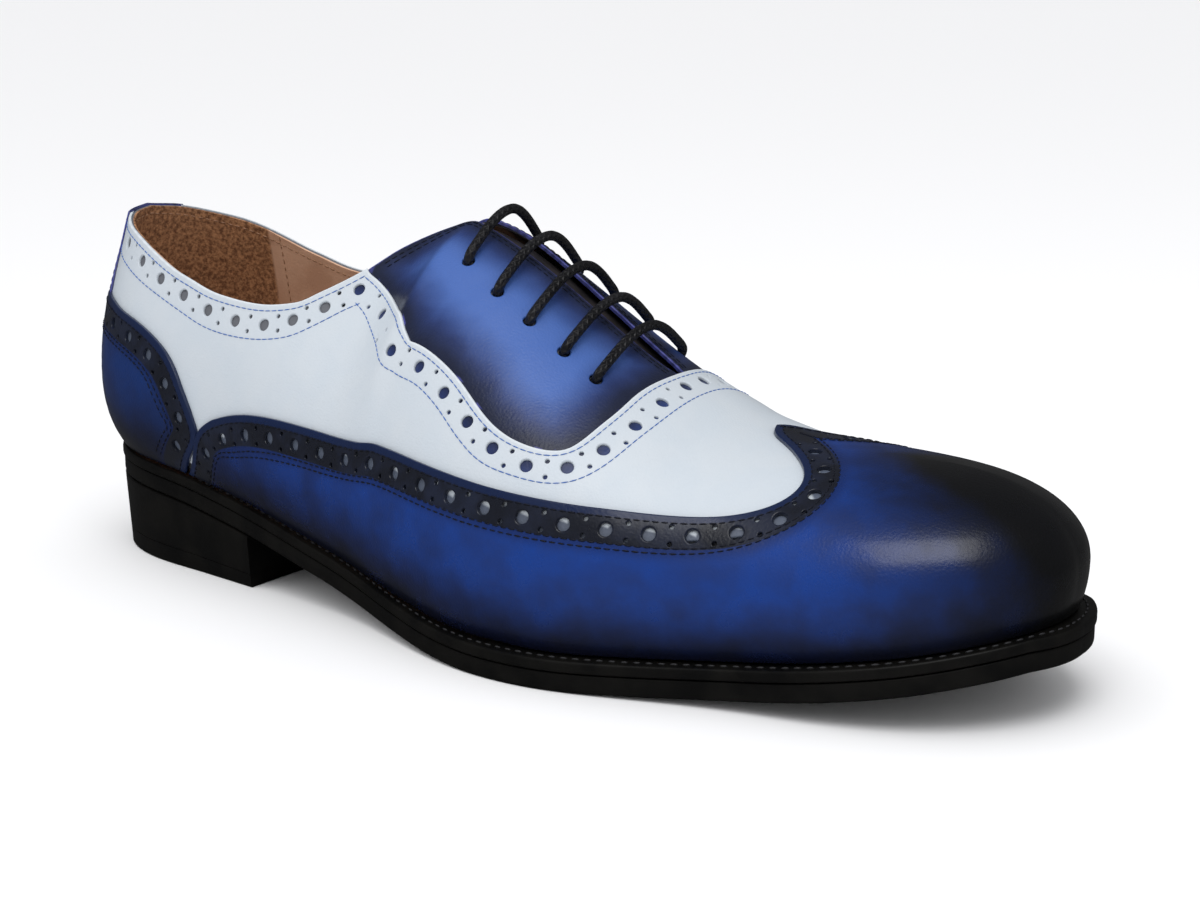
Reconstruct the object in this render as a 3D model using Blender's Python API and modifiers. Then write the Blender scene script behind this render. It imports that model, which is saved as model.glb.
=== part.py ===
"""Two-tone laced wingtip shoe for the right foot.

Metres, +X to the toe, +Z up, the outer side of the foot towards -Y.
Every form of the upper comes from one function of the last: `station` runs from the back of the heel (0)
to the toe tip (1) along each side, and `down` runs from the top of the section (0) to the feather line (1).
"""
import math

import bmesh
import bpy
import numpy as np

# Driving sizes of the last
LAST_LENGTH = 0.300
BALL_WIDTH = 0.0935
INSTEP_HEIGHT = 0.105
HEEL_PITCH = 0.0313
BALL_SEAT = 0.0085
TOE_SPRING = 0.0142
HEEL_RADIUS = 0.0262
TOE_RADIUS = 0.0333

# Sizes of the upper
WALL = 0.0020
OVERLAY = 0.0011
OVERLAY_GAP = 0.00055
FACING_STEP = 0.0008
CLEARANCE = 0.0003
EYELET_RADIUS = 0.0017
TONGUE_THICKNESS = 0.0015
TONGUE_HALF = 0.0235
SEAM_GAP = 0.0009

# Sizes of the bottom
WELT_THICKNESS = 0.0030
INSOLE_THICKNESS = 0.0030
EDGE_STEP = 0.0004
EDGE_ROUND = 0.0006
HEEL_TAPER = 0.0012
BREAST = 0.0730
BREAST_HOLLOW = 0.0020

# Sizes of the lace
CORD_RADIUS = 0.00135
BAR_LIFT = 0.0040

LATERAL = -1
MEDIAL = 1
WIDEST = 0.75
NUDGE = 1e-4
MERGE = 5e-5

# Handles of the section below its widest line as shares in and down, and the least reach of its top
LOWER_OUT = 0.62
LOWER_DROP = 0.45
LOWER_RISE = 0.25
LEAST_REACH = 0.004

# Half widths and swells as shares of the ball width, rise of the swell as a share of the instep height,
# pulls of the section's curve as shares of its own reach
SECTION_COLUMNS = (
    "station", "lateral", "medial", "lateral_swell", "medial_swell", "swell_rise", "top_pull", "side_pull")
SECTIONS = (
    (0.00, 0.280, 0.280, 0.066, 0.066, 0.20, 0.33, 0.33),
    (0.10, 0.308, 0.306, 0.066, 0.066, 0.20, 0.33, 0.38),
    (0.20, 0.352, 0.325, 0.052, 0.056, 0.21, 0.33, 0.40),
    (0.30, 0.394, 0.290, 0.060, 0.090, 0.22, 0.34, 0.42),
    (0.40, 0.448, 0.275, 0.065, 0.110, 0.22, 0.42, 0.44),
    (0.50, 0.548, 0.320, 0.055, 0.090, 0.20, 0.50, 0.50),
    (0.62, 0.589, 0.395, 0.040, 0.055, 0.15, 0.53, 0.55),
    (0.74, 0.490, 0.410, 0.035, 0.040, 0.13, 0.60, 0.57),
    (0.87, 0.408, 0.385, 0.030, 0.030, 0.12, 0.53, 0.58),
    (1.00, 0.356, 0.356, 0.025, 0.025, 0.11, 0.60, 0.58),
)

# Top of the last: half width as a share of the ball width, and how steeply the section leaves it, in degrees
TOP_COLUMNS = ("station", "half", "fall")
TOP = (
    (0.00, 0.245, 76.0),
    (0.10, 0.255, 77.0),
    (0.20, 0.245, 76.0),
    (0.30, 0.190, 72.0),
    (0.36, 0.110, 62.0),
    (0.41, 0.020, 30.0),
    (0.44, 0.000, 0.0),
    (1.00, 0.000, 0.0),
)

# Height of the top line over the floor as a share of the instep height
RIDGE_COLUMNS = ("station", "height")
RIDGE = (
    (0.05, 0.995),
    (0.15, 0.990),
    (0.25, 0.975),
    (0.36, 0.985),
    (0.43, 1.012),
    (0.50, 0.931),
    (0.58, 0.782),
    (0.66, 0.642),
    (0.76, 0.541),
    (0.84, 0.525),
    (0.90, 0.522),
)

# Feather line: share of the heel pitch and of the toe spring
FEATHER_COLUMNS = ("station", "pitch", "spring")
FEATHER = (
    (0.00, 1.00, 0.00),
    (0.11, 0.93, 0.00),
    (0.22, 0.74, 0.00),
    (0.34, 0.41, 0.00),
    (0.45, 0.13, 0.00),
    (0.53, 0.02, 0.00),
    (0.57, 0.00, 0.00),
    (0.63, 0.00, 0.00),
    (0.70, 0.00, 0.05),
    (0.80, 0.00, 0.22),
    (0.90, 0.00, 0.55),
    (1.00, 0.00, 1.00),
)

# Sole edge beyond the feather line as a share of the ball width
MARGIN_COLUMNS = ("station", "margin")
MARGIN = (
    (0.00, 0.021),
    (0.12, 0.027),
    (0.25, 0.032),
    (0.40, 0.043),
    (0.55, 0.059),
    (0.70, 0.064),
    (1.00, 0.064),
)

# Collar and facing top: height over the floor as a share of the instep height
COLLAR_COLUMNS = ("station", "height")
COLLAR = (
    (0.000, 0.960),
    (0.060, 0.952),
    (0.100, 0.915),
    (0.150, 0.822),
    (0.200, 0.781),
    (0.250, 0.769),
    (0.287, 0.781),
    (0.310, 0.812),
    (0.340, 0.862),
    (0.370, 0.928),
    (0.397, 0.972),
    (0.420, 1.000),
    (0.440, 1.030),
)

# Half gap between the facings as a share of the ball width
THROAT_COLUMNS = ("station", "half_gap")
THROAT = (
    (0.400, 0.030),
    (0.430, 0.042),
    (0.470, 0.056),
    (0.520, 0.047),
    (0.580, 0.037),
    (0.620, 0.029),
    (0.638, 0.020),
    (0.645, 0.000),
)

# Facing panel: where the lighter panel's curled edge lies over it
CURL_COLUMNS = ("station", "down")
CURL = (
    (0.332, 0.030),
    (0.357, 0.085),
    (0.403, 0.240),
    (0.437, 0.350),
    (0.448, 0.385),
    (0.473, 0.390),
    (0.523, 0.430),
    (0.560, 0.456),
    (0.585, 0.460),
    (0.610, 0.430),
    (0.630, 0.365),
    (0.643, 0.270),
    (0.650, 0.130),
    (0.652, 0.000),
)

# Wing: its long edge, and the peak on the centre line
WING_COLUMNS = ("station", "down")
WING = (
    (0.168, 0.930),
    (0.187, 0.795),
    (0.213, 0.745),
    (0.257, 0.691),
    (0.313, 0.653),
    (0.380, 0.632),
    (0.450, 0.618),
    (0.513, 0.598),
    (0.580, 0.565),
    (0.640, 0.520),
    (0.693, 0.485),
    (0.750, 0.435),
    (0.780, 0.385),
    (0.800, 0.345),
    (1.000, 0.345),
)
WING_FOOT = 0.965
PEAK_COLUMNS = ("station", "down")
PEAK = (
    (0.737, 0.000),
    (0.760, 0.075),
    (0.785, 0.150),
    (0.800, 0.220),
    (1.000, 0.220),
)

# Heel counter: its front edge
COUNTER_COLUMNS = ("down", "station")
COUNTER = (
    (0.330, 0.093),
    (0.415, 0.113),
    (0.500, 0.133),
    (0.560, 0.147),
    (0.625, 0.163),
    (0.715, 0.177),
    (0.795, 0.184),
    (0.985, 0.158),
)
STRIP_STATION = 0.075
STRIP_DOWN = (0.012, 0.315)

# Lace holes
EYELET_COLUMNS = ("station", "down")
EYELETS = (
    (0.463, 0.190),
    (0.503, 0.205),
    (0.540, 0.205),
    (0.577, 0.205),
    (0.610, 0.205),
)

# Finishes: base colour and roughness
FINISHES = {
    "white_leather": ((0.62, 0.67, 0.75, 1.0), 0.38),
    "blue_leather": ((0.02, 0.07, 0.42, 1.0), 0.30),
    "navy_leather": ((0.012, 0.02, 0.06, 1.0), 0.34),
    "black_sole": ((0.012, 0.012, 0.013, 1.0), 0.42),
    "tan_lining": ((0.34, 0.19, 0.10, 1.0), 0.60),
    "black_cord": ((0.008, 0.008, 0.009, 1.0), 0.35),
}


def column(table, columns, name):
    """One named column of a table."""
    return np.array([row[columns.index(name)] for row in table], float)


def smooth(knots, values):
    """Twice-smooth curve through the knots, level at both ends."""
    count = len(knots)
    gap = np.diff(knots)
    rise = np.diff(values) / gap
    matrix = np.zeros((count, count))
    right = np.zeros(count)
    matrix[0, :2] = 2.0 * gap[0], gap[0]
    right[0] = 6.0 * rise[0]
    matrix[-1, -2:] = gap[-1], 2.0 * gap[-1]
    right[-1] = -6.0 * rise[-1]
    for i in range(1, count - 1):
        matrix[i, i - 1:i + 2] = gap[i - 1], 2.0 * (gap[i - 1] + gap[i]), gap[i]
        right[i] = 6.0 * (rise[i] - rise[i - 1])
    bend = np.linalg.solve(matrix, right)

    def at(x):
        x = np.clip(x, knots[0], knots[-1])
        i = np.clip(np.searchsorted(knots, x) - 1, 0, count - 2)
        before = x - knots[i]
        after = knots[i + 1] - x
        cubic = (bend[i] * after ** 3 + bend[i + 1] * before ** 3) / (6.0 * gap[i])
        line_a = (values[i] / gap[i] - bend[i] * gap[i] / 6.0) * after
        line_b = (values[i + 1] / gap[i] - bend[i + 1] * gap[i] / 6.0) * before
        return cubic + line_a + line_b

    return at


def steady(knots, values):
    """Smooth curve through the knots that never overshoots them."""
    gap = np.diff(knots)
    rise = np.diff(values) / gap
    slope = np.zeros(len(knots))
    same = rise[:-1] * rise[1:] > 0.0
    total = gap[:-1] + gap[1:]
    share = (total + gap[1:]) / (3.0 * total)
    mixed = share * np.where(same, rise[1:], 1.0) + (1.0 - share) * np.where(same, rise[:-1], 1.0)
    slope[1:-1] = np.where(same, rise[:-1] * rise[1:] / mixed, 0.0)
    slope[0] = rise[0]
    slope[-1] = rise[-1]

    def at(x):
        x = np.clip(x, knots[0], knots[-1])
        i = np.clip(np.searchsorted(knots, x) - 1, 0, len(knots) - 2)
        t = (x - knots[i]) / gap[i]
        return (values[i] * (1.0 + 2.0 * t) * (1.0 - t) ** 2 + values[i + 1] * t * t * (3.0 - 2.0 * t)
                + gap[i] * t * (1.0 - t) * (slope[i] * (1.0 - t) - slope[i + 1] * t))

    return at


def curve_of(table, columns, name, scale=1.0, kind=smooth):
    """Curve of one column over the station (or the first column), times a named size."""
    return kind(column(table, columns, columns[0]), column(table, columns, name) * scale)


def section_curve(name, scale):
    """Curve of one column of the section table."""
    return curve_of(SECTIONS, SECTION_COLUMNS, name, scale)


HALF = {LATERAL: section_curve("lateral", BALL_WIDTH), MEDIAL: section_curve("medial", BALL_WIDTH)}
SWELL = {
    LATERAL: section_curve("lateral_swell", BALL_WIDTH),
    MEDIAL: section_curve("medial_swell", BALL_WIDTH),
}
SWELL_RISE = section_curve("swell_rise", INSTEP_HEIGHT)
TOP_PULL = section_curve("top_pull", 1.0)
SIDE_PULL = section_curve("side_pull", 1.0)
TOP_HALF = curve_of(TOP, TOP_COLUMNS, "half", BALL_WIDTH, steady)
TOP_FALL = curve_of(TOP, TOP_COLUMNS, "fall", math.pi / 180.0, steady)
RIDGE_HEIGHT = curve_of(RIDGE, RIDGE_COLUMNS, "height", INSTEP_HEIGHT)
PITCH_SHARE = curve_of(FEATHER, FEATHER_COLUMNS, "pitch", 1.0, steady)
SPRING_SHARE = curve_of(FEATHER, FEATHER_COLUMNS, "spring", 1.0, steady)
SOLE_MARGIN = curve_of(MARGIN, MARGIN_COLUMNS, "margin", BALL_WIDTH, steady)
COLLAR_HEIGHT = curve_of(COLLAR, COLLAR_COLUMNS, "height", INSTEP_HEIGHT, steady)
HALF_GAP = curve_of(THROAT, THROAT_COLUMNS, "half_gap", BALL_WIDTH, steady)
CURL_DOWN = curve_of(CURL, CURL_COLUMNS, "down", 1.0, steady)
WING_DOWN = curve_of(WING, WING_COLUMNS, "down", 1.0, steady)
PEAK_DOWN = curve_of(PEAK, PEAK_COLUMNS, "down", 1.0, steady)
COUNTER_STATION = curve_of(COUNTER, COUNTER_COLUMNS, "station", 1.0, steady)


def feather_height(x):
    """Height of the feather line over the floor."""
    share = x / LAST_LENGTH
    return BALL_SEAT + (HEEL_PITCH - BALL_SEAT) * PITCH_SHARE(share) + TOE_SPRING * SPRING_SHARE(share)


def ease(t):
    """Share of the turn made by the section planes."""
    return t ** 3 * (11.2 - 18.0 * t + 7.8 * t * t)


def eased_way(t):
    """Way gone by the axis while the planes turn."""
    return t ** 4 * (2.8 - 3.6 * t + 1.3 * t * t)


def plane(station):
    """Place of the section plane on the axis, and its turn from square."""
    s = station * LAST_LENGTH
    toe = 2.0 * TOE_RADIUS
    heel = 2.0 * HEEL_RADIUS
    at_toe = np.clip((s - (LAST_LENGTH - toe)) / toe, 0.0, 1.0)
    at_heel = np.clip((heel - s) / heel, 0.0, 1.0)
    x = np.where(at_toe > 0.0, LAST_LENGTH - toe + toe * (at_toe - eased_way(at_toe)), s)
    x = np.where(at_heel > 0.0, heel - heel * (at_heel - eased_way(at_heel)), x)
    return x, (ease(at_toe) - ease(at_heel)) * math.pi / 2.0


def bezier(a, b, c, d, t):
    """Cubic through four handles."""
    return a * (1.0 - t) ** 3 + 3.0 * b * t * (1.0 - t) ** 2 + 3.0 * c * t * t * (1.0 - t) + d * t ** 3


def surface(side, station, down):
    """Points of the last's surface."""
    station, down = np.broadcast_arrays(np.asarray(station, float), np.asarray(down, float))
    x, turn = plane(station)
    feather_r = HALF[side](station)
    feather_z = feather_height(x + feather_r * np.sin(turn))
    wide_r = feather_r + SWELL[side](station)
    wide_z = feather_z + SWELL_RISE(station)
    top_r = TOP_HALF(station)
    along = x / LAST_LENGTH
    top_z = RIDGE_HEIGHT(along)
    slope = (RIDGE_HEIGHT(along + NUDGE) - RIDGE_HEIGHT(along - NUDGE)) / (2 * NUDGE * LAST_LENGTH)
    fall = TOP_FALL(station)
    out_r = np.cos(fall)
    out_z = slope * np.sin(turn) * np.cos(fall) - np.sin(fall)
    size = np.hypot(out_r, out_z)
    reach = np.maximum(((wide_r - top_r) * out_r + (wide_z - top_z) * out_z) / size, LEAST_REACH)
    pull = TOP_PULL(station) * reach / size
    upper = np.clip(down / WIDEST, 0.0, 1.0)
    lower = np.clip((down - WIDEST) / (1.0 - WIDEST), 0.0, 1.0)
    side_z = wide_z + SIDE_PULL(station) * (top_z - wide_z)
    r = np.where(down <= WIDEST,
                 bezier(top_r, top_r + pull * out_r, wide_r, wide_r, upper),
                 bezier(wide_r, wide_r, feather_r + LOWER_OUT * (wide_r - feather_r), feather_r, lower))
    z = np.where(down <= WIDEST,
                 bezier(top_z, top_z + pull * out_z, side_z, wide_z, upper),
                 bezier(wide_z, wide_z - LOWER_DROP * (wide_z - feather_z),
                        feather_z + LOWER_RISE * (wide_z - feather_z), feather_z, lower))
    return np.stack([x + r * np.sin(turn), side * r * np.cos(turn), z], -1)


def normals(side, station, down):
    """Outward unit normals of the last's surface, flat across the centre line."""
    station, down = np.broadcast_arrays(np.asarray(station, float), np.asarray(down, float))
    s_before, s_after = np.maximum(station - NUDGE, 0.0), np.minimum(station + NUDGE, 1.0)
    d_before, d_after = np.maximum(down - NUDGE, 0.0), np.minimum(down + NUDGE, 1.0)
    along = surface(side, s_after, np.maximum(down, NUDGE)) - surface(side, s_before, np.maximum(down, NUDGE))
    across = surface(side, station, d_after) - surface(side, station, d_before)
    normal = side * np.cross(along, across)
    centre = (station <= 0.0) | (station >= 1.0) | ((down <= 0.0) & (TOP_HALF(station) <= 0.0))
    normal[..., 1] = np.where(centre, 0.0, normal[..., 1])
    return normal / np.linalg.norm(normal, axis=-1, keepdims=True)


def skin(side, station, down, offset):
    """Points at a distance from the last's surface, outwards when positive."""
    return surface(side, station, down) + offset * normals(side, station, down)


def down_at_height(side, station, height):
    """Where the section passes a height."""
    downs = np.linspace(0.0, WIDEST, 241)
    heights = surface(side, station, downs)[:, 2]
    top = int(np.argmax(heights))
    if height >= heights[top]:
        return 0.0
    return float(np.interp(-height, -heights[top:], downs[top:]))


def down_at_width(side, station, width):
    """Where the section passes a distance from the centre line."""
    downs = np.linspace(0.0, WIDEST, 241)
    points = surface(side, station, downs)
    return float(np.interp(width, np.abs(points[:, 1]), downs))


def edge_down(side, station):
    """Top edge of the upper: the collar behind, the facing's edge before it."""
    behind = down_at_height(side, station, float(COLLAR_HEIGHT(station)))
    if station < column(THROAT, THROAT_COLUMNS, "station")[0]:
        return behind
    if station >= column(THROAT, THROAT_COLUMNS, "station")[-1]:
        return 0.0
    return max(behind if station < column(COLLAR, COLLAR_COLUMNS, "station")[-1] else 0.0,
               down_at_width(side, station, float(HALF_GAP(station))))


def outline(side, station, margin):
    """Plan of the feather line moved out by a margin, with no height."""
    x, turn = plane(station)
    r = HALF[side](station) + margin
    return x + r * np.sin(turn), side * r * np.cos(turn)


def finish(name):
    """Material slot of a plain name."""
    material = bpy.data.materials.get(name)
    if material is None:
        colour, roughness = FINISHES[name]
        material = bpy.data.materials.new(name)
        material.use_nodes = True
        shader = material.node_tree.nodes["Principled BSDF"]
        shader.inputs["Base Color"].default_value = colour
        shader.inputs["Roughness"].default_value = roughness
    return material


def add_object(name, bm, material, collection):
    """Object of a mesh, in a collection."""
    mesh = bpy.data.meshes.new(name)
    bm.to_mesh(mesh)
    bm.free()
    mesh.materials.append(finish(material))
    obj = bpy.data.objects.new(name, mesh)
    collection.objects.link(obj)
    return obj


def face_out(bm):
    """Turns an open skin's faces away from the inside of the shoe."""
    bmesh.ops.recalc_face_normals(bm, faces=bm.faces)
    bm.normal_update()
    total = 0.0
    for face in bm.faces:
        centre = face.calc_center_median()
        inner = np.array([min(max(centre.x, HEEL_RADIUS), LAST_LENGTH - TOE_RADIUS), 0.0, HEEL_PITCH])
        total += face.calc_area() * float(np.dot(face.normal, np.array(centre) - inner))
    if total < 0.0:
        bmesh.ops.reverse_faces(bm, faces=bm.faces)


def skin_mesh(bm, points, keep=None):
    """Adds a grid of points as faces, leaving out the cells that keep refuses."""
    rows = [[bm.verts.new(p) for p in line] for line in points]
    for i in range(len(rows) - 1):
        for j in range(len(rows[0]) - 1):
            if keep is None or keep(i, j):
                bm.faces.new((rows[i][j], rows[i + 1][j], rows[i + 1][j + 1], rows[i][j + 1]))


def shell(name, grids, thickness, material, collection, keep=None):
    """Skin of one or more grids, thickened inwards."""
    bm = bmesh.new()
    for points in grids:
        skin_mesh(bm, points, keep)
    loose = [v for v in bm.verts if not v.link_faces]
    bmesh.ops.delete(bm, geom=loose, context="VERTS")
    bmesh.ops.remove_doubles(bm, verts=bm.verts, dist=MERGE)
    face_out(bm)
    obj = add_object(name, bm, material, collection)
    solid = obj.modifiers.new("thickness", "SOLIDIFY")
    solid.thickness = thickness
    solid.offset = -1.0
    solid.use_even_offset = True
    return obj


def ring_body(name, rings, stations, material, collection):
    """Closed body of rings that run out along the lateral side and back along the medial side.

    The first `stations` points of a ring are lateral, and as many at its end are medial, mirrored in order;
    points between them close the front.
    """
    bm = bmesh.new()
    levels = [[bm.verts.new(p) for p in ring] for ring in rings]
    count = len(levels[0])
    for lower, upper in zip(levels, levels[1:]):
        for k in range(count):
            following = (k + 1) % count
            bm.faces.new((lower[k], lower[following], upper[following], upper[k]))
    for ring in (levels[0], levels[-1]):
        for i in range(stations - 1):
            bm.faces.new((ring[i], ring[i + 1], ring[count - 2 - i], ring[count - 1 - i]))
        if count > 2 * stations:
            bm.faces.new(ring[stations - 1:count - stations + 1])
    bmesh.ops.remove_doubles(bm, verts=bm.verts, dist=MERGE)
    bmesh.ops.recalc_face_normals(bm, faces=bm.faces)
    return add_object(name, bm, material, collection)


def plate_ring(stations, margin, height, share=1.0, front=()):
    """Ring round the sole: the sole edge's own margin times a share, plus a margin, at a height of x."""
    edge = SOLE_MARGIN(stations) * share + margin
    lateral_x, lateral_y = outline(LATERAL, stations, edge)
    medial_x, medial_y = outline(MEDIAL, stations, edge)
    x = np.concatenate([lateral_x, [p[0] for p in front], medial_x[::-1]])
    y = np.concatenate([lateral_y, [p[1] for p in front], medial_y[::-1]])
    return np.stack([x, y, height(x)], -1)


def upper_stations():
    """Columns of the upper, closer at the heel, the facing corner, the throat's end and the toe."""
    even = np.linspace(0.0, 1.0, 37)
    close = np.array([0.0125, 0.430, 0.4375, 0.6375, 0.645, 0.6575, 0.985])
    return np.sort(np.concatenate([even, close]))


def both_sides(stations, downs_of, offset):
    """Two grids, lateral and medial, with the downs given for each station."""
    grids = []
    for side in (LATERAL, MEDIAL):
        grids.append(np.array([skin(side, s, downs_of(side, s), offset) for s in stations]))
    return grids


def build_upper(collection, cutters):
    """Hollow upper with its facings one step lower and ten lace holes."""
    shares = np.linspace(0.0, 1.0, 13)

    def downs(side, station):
        top = edge_down(side, station)
        return top + (1.0 - top) * shares

    upper = shell("upper", both_sides(upper_stations(), downs, 0.0), WALL, "white_leather", collection)
    add_cut(upper, facing_cutter(cutters))
    add_cut(upper, eyelet_cutter(cutters))
    return upper


def eyelet_places():
    """Station and down of each pair of lace holes, from the lowest up."""
    return zip(column(EYELETS, EYELET_COLUMNS, "station"), column(EYELETS, EYELET_COLUMNS, "down"))


def add_cut(target, cutter):
    """Exact cut of one object out of another."""
    cut = target.modifiers.new(cutter.name, "BOOLEAN")
    cut.operation = "DIFFERENCE"
    cut.solver = "EXACT"
    cut.object = cutter


def facing_cutter(cutters):
    """Skin over the facings, reaching one step into the wall."""
    corner, over_edge = 0.36, 0.12
    between = [0.380, 0.420, 0.498, 0.540]
    stations = np.concatenate([column(CURL, CURL_COLUMNS, "station"), between])
    shares = np.linspace(0.0, 1.0, 7)

    def downs(side, station):
        top = max(edge_down(side, station) - over_edge, 0.0) if station < corner else 0.0
        return top + (max(float(CURL_DOWN(station)), top) - top) * shares

    above = WALL
    cutter = shell("facing_cutter", both_sides(np.sort(stations), downs, above), above + FACING_STEP,
                   "blue_leather", cutters)
    hide_cutter(cutter)
    return cutter


def eyelet_cutter(cutters):
    """Ten pins through the facings."""
    bm = bmesh.new()
    for side in (LATERAL, MEDIAL):
        for station, down in eyelet_places():
            middle = surface(side, station, down)
            normal = normals(side, station, down)
            pin(bm, middle, normal, EYELET_RADIUS, 2.0 * WALL)
    cutter = add_object("eyelet_cutter", bm, "navy_leather", cutters)
    hide_cutter(cutter)
    return cutter


def pin(bm, middle, normal, radius, half_length):
    """Closed round pin through a point."""
    sides = 12
    across = np.cross(normal, [1.0, 0.0, 0.0])
    across /= np.linalg.norm(across)
    other = np.cross(normal, across)
    rings = []
    for end in (-half_length, half_length):
        angles = np.linspace(0.0, 2.0 * math.pi, sides, endpoint=False)
        ring = [middle + normal * end + radius * (math.cos(a) * across + math.sin(a) * other) for a in angles]
        rings.append([bm.verts.new(p) for p in ring])
    for k in range(sides):
        following = (k + 1) % sides
        bm.faces.new((rings[0][k], rings[0][following], rings[1][following], rings[1][k]))
    bm.faces.new(rings[0][::-1])
    bm.faces.new(rings[1])
    bmesh.ops.recalc_face_normals(bm, faces=bm.faces)


def hide_cutter(obj):
    """Keeps a cutter out of the pictures."""
    obj.hide_render = True
    obj.display_type = "WIRE"


def build_wingtip(collection):
    """Wing-shaped cap over the toe, its arms running back along both sides."""
    front = column(PEAK, PEAK_COLUMNS, "station")
    joint = front[3]
    tail = 0.178
    arms = np.concatenate([[WING[0][0], tail], np.linspace(WING[1][0], front[0], 17, endpoint=False)])
    peak = np.array([front[0], front[1], front[2], joint])
    toe = np.linspace(joint, 1.0, 14)[1:]
    stations = np.concatenate([arms, peak, toe])
    peak_rows, notch_rows, arm_rows = 4, 2, 8

    def downs(_, station):
        high = float(PEAK_DOWN(station))
        low = float(WING_DOWN(station))
        return np.concatenate([
            np.linspace(0.0, high, peak_rows, endpoint=False),
            np.linspace(high, low, notch_rows, endpoint=False),
            np.linspace(low, WING_FOOT, arm_rows + 1)])

    def keep(i, j):
        middle = 0.5 * (stations[i] + stations[i + 1])
        if j >= peak_rows + notch_rows or middle > joint:
            return True
        return j < peak_rows and middle > front[0]

    grids = both_sides(stations, downs, OVERLAY_GAP + OVERLAY)
    return shell("wingtip", grids, OVERLAY, "blue_leather", collection, keep)


def build_counter(collection):
    """Counter round the back of the heel."""
    downs = np.linspace(COUNTER[0][0], COUNTER[-1][0], 10)
    shares = np.linspace(0.0, 1.0, 17)
    grids = []
    for side in (LATERAL, MEDIAL):
        reach = COUNTER_STATION(downs) - SEAM_GAP / LAST_LENGTH
        grids.append(np.array([skin(side, reach * share, downs, OVERLAY_GAP + OVERLAY) for share in shares]))
    return shell("heel_counter", grids, OVERLAY, "blue_leather", collection)


def build_strip(collection):
    """Back strip from the collar down to the counter."""
    grids = []
    shares = np.linspace(0.0, 1.0, 5)
    for side in (LATERAL, MEDIAL):
        lines = []
        for station in np.linspace(0.0, STRIP_STATION, 6):
            top = edge_down(side, station) + STRIP_DOWN[0]
            lines.append(skin(side, station, top + (STRIP_DOWN[1] - top) * shares, OVERLAY_GAP + OVERLAY))
        grids.append(np.array(lines))
    return shell("back_strip", grids, OVERLAY, "blue_leather", collection)


def build_tongue(collection):
    """Tongue under the facings."""
    stations = np.linspace(0.440, 0.670, 11)
    shares = np.linspace(0.0, 1.0, 5)

    def downs(side, station):
        return down_at_width(side, station, TONGUE_HALF) * shares

    grids = both_sides(stations, downs, -(WALL + 1.5 * CLEARANCE))
    return shell("tongue", grids, TONGUE_THICKNESS, "navy_leather", collection)


def build_bottom(collection):
    """Insole, welt, outsole and heel block."""
    stations = np.concatenate([[0.0, 0.0125], np.linspace(0.03, 0.97, 30), [0.985, 1.0]])

    def level(drop):
        return lambda x: feather_height(x) - drop

    inside = -(WALL + 4.0 * CLEARANCE)
    insole = [plate_ring(stations, inside, level(-CLEARANCE), 0.0),
              plate_ring(stations, inside, level(-CLEARANCE - INSOLE_THICKNESS), 0.0)]
    ring_body("insole", insole, len(stations), "tan_lining", collection)
    welt_low = CLEARANCE + WELT_THICKNESS
    welt = [plate_ring(stations, -EDGE_ROUND, level(welt_low)),
            plate_ring(stations, 0.0, level(welt_low - EDGE_ROUND)),
            plate_ring(stations, 0.0, level(CLEARANCE + EDGE_ROUND)),
            plate_ring(stations, -EDGE_ROUND, level(CLEARANCE))]
    ring_body("welt", welt, len(stations), "black_sole", collection)
    sole_top = welt_low + CLEARANCE
    outsole = [plate_ring(stations, -EDGE_STEP - 2.0 * EDGE_ROUND, level(BALL_SEAT)),
               plate_ring(stations, -EDGE_STEP, level(BALL_SEAT - 2.0 * EDGE_ROUND)),
               plate_ring(stations, -EDGE_STEP, level(sole_top + EDGE_ROUND)),
               plate_ring(stations, -EDGE_STEP - EDGE_ROUND, level(sole_top))]
    ring_body("outsole", outsole, len(stations), "black_sole", collection)
    build_heel(collection)


def build_heel(collection):
    """Heel block: tapered, with a hollowed breast."""
    stations = np.concatenate([[0.0, 0.0125], np.linspace(0.03, BREAST / LAST_LENGTH, 10)])
    top = BALL_SEAT + CLEARANCE
    rings = []
    levels = (
        (-EDGE_STEP - HEEL_TAPER - EDGE_ROUND, lambda x: 0.0 * x),
        (-EDGE_STEP - HEEL_TAPER, lambda x: 0.0 * x + EDGE_ROUND),
        (-EDGE_STEP, lambda x: feather_height(x) - top - EDGE_ROUND),
        (-EDGE_STEP - EDGE_ROUND, lambda x: feather_height(x) - top),
    )
    for margin, height in levels:
        edge = float(SOLE_MARGIN(stations[-1])) + margin
        near = float(outline(LATERAL, stations[-1], edge)[1])
        far = float(outline(MEDIAL, stations[-1], edge)[1])
        front = []
        for share in np.linspace(0.0, 1.0, 7)[1:-1]:
            front.append((BREAST - BREAST_HOLLOW * 4.0 * share * (1.0 - share), near + (far - near) * share))
        rings.append(plate_ring(stations, margin, height, 1.0, front))
    ring_body("heel", rings, len(stations), "black_sole", collection)


def build_lace(collection):
    """Five bars of cord over the throat, clear of the facings."""
    for number, (station, down) in enumerate(eyelet_places(), 1):
        path = []
        for share in np.linspace(-1.0, 1.0, 9):
            side = MEDIAL if share > 0.0 else LATERAL
            place = skin(side, station, down * abs(share), CORD_RADIUS + CLEARANCE - FACING_STEP)
            place[2] += BAR_LIFT * (1.0 - share * share) ** 2
            path.append(place)
        cord("lace_bar_%d" % number, np.array(path), collection)


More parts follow.
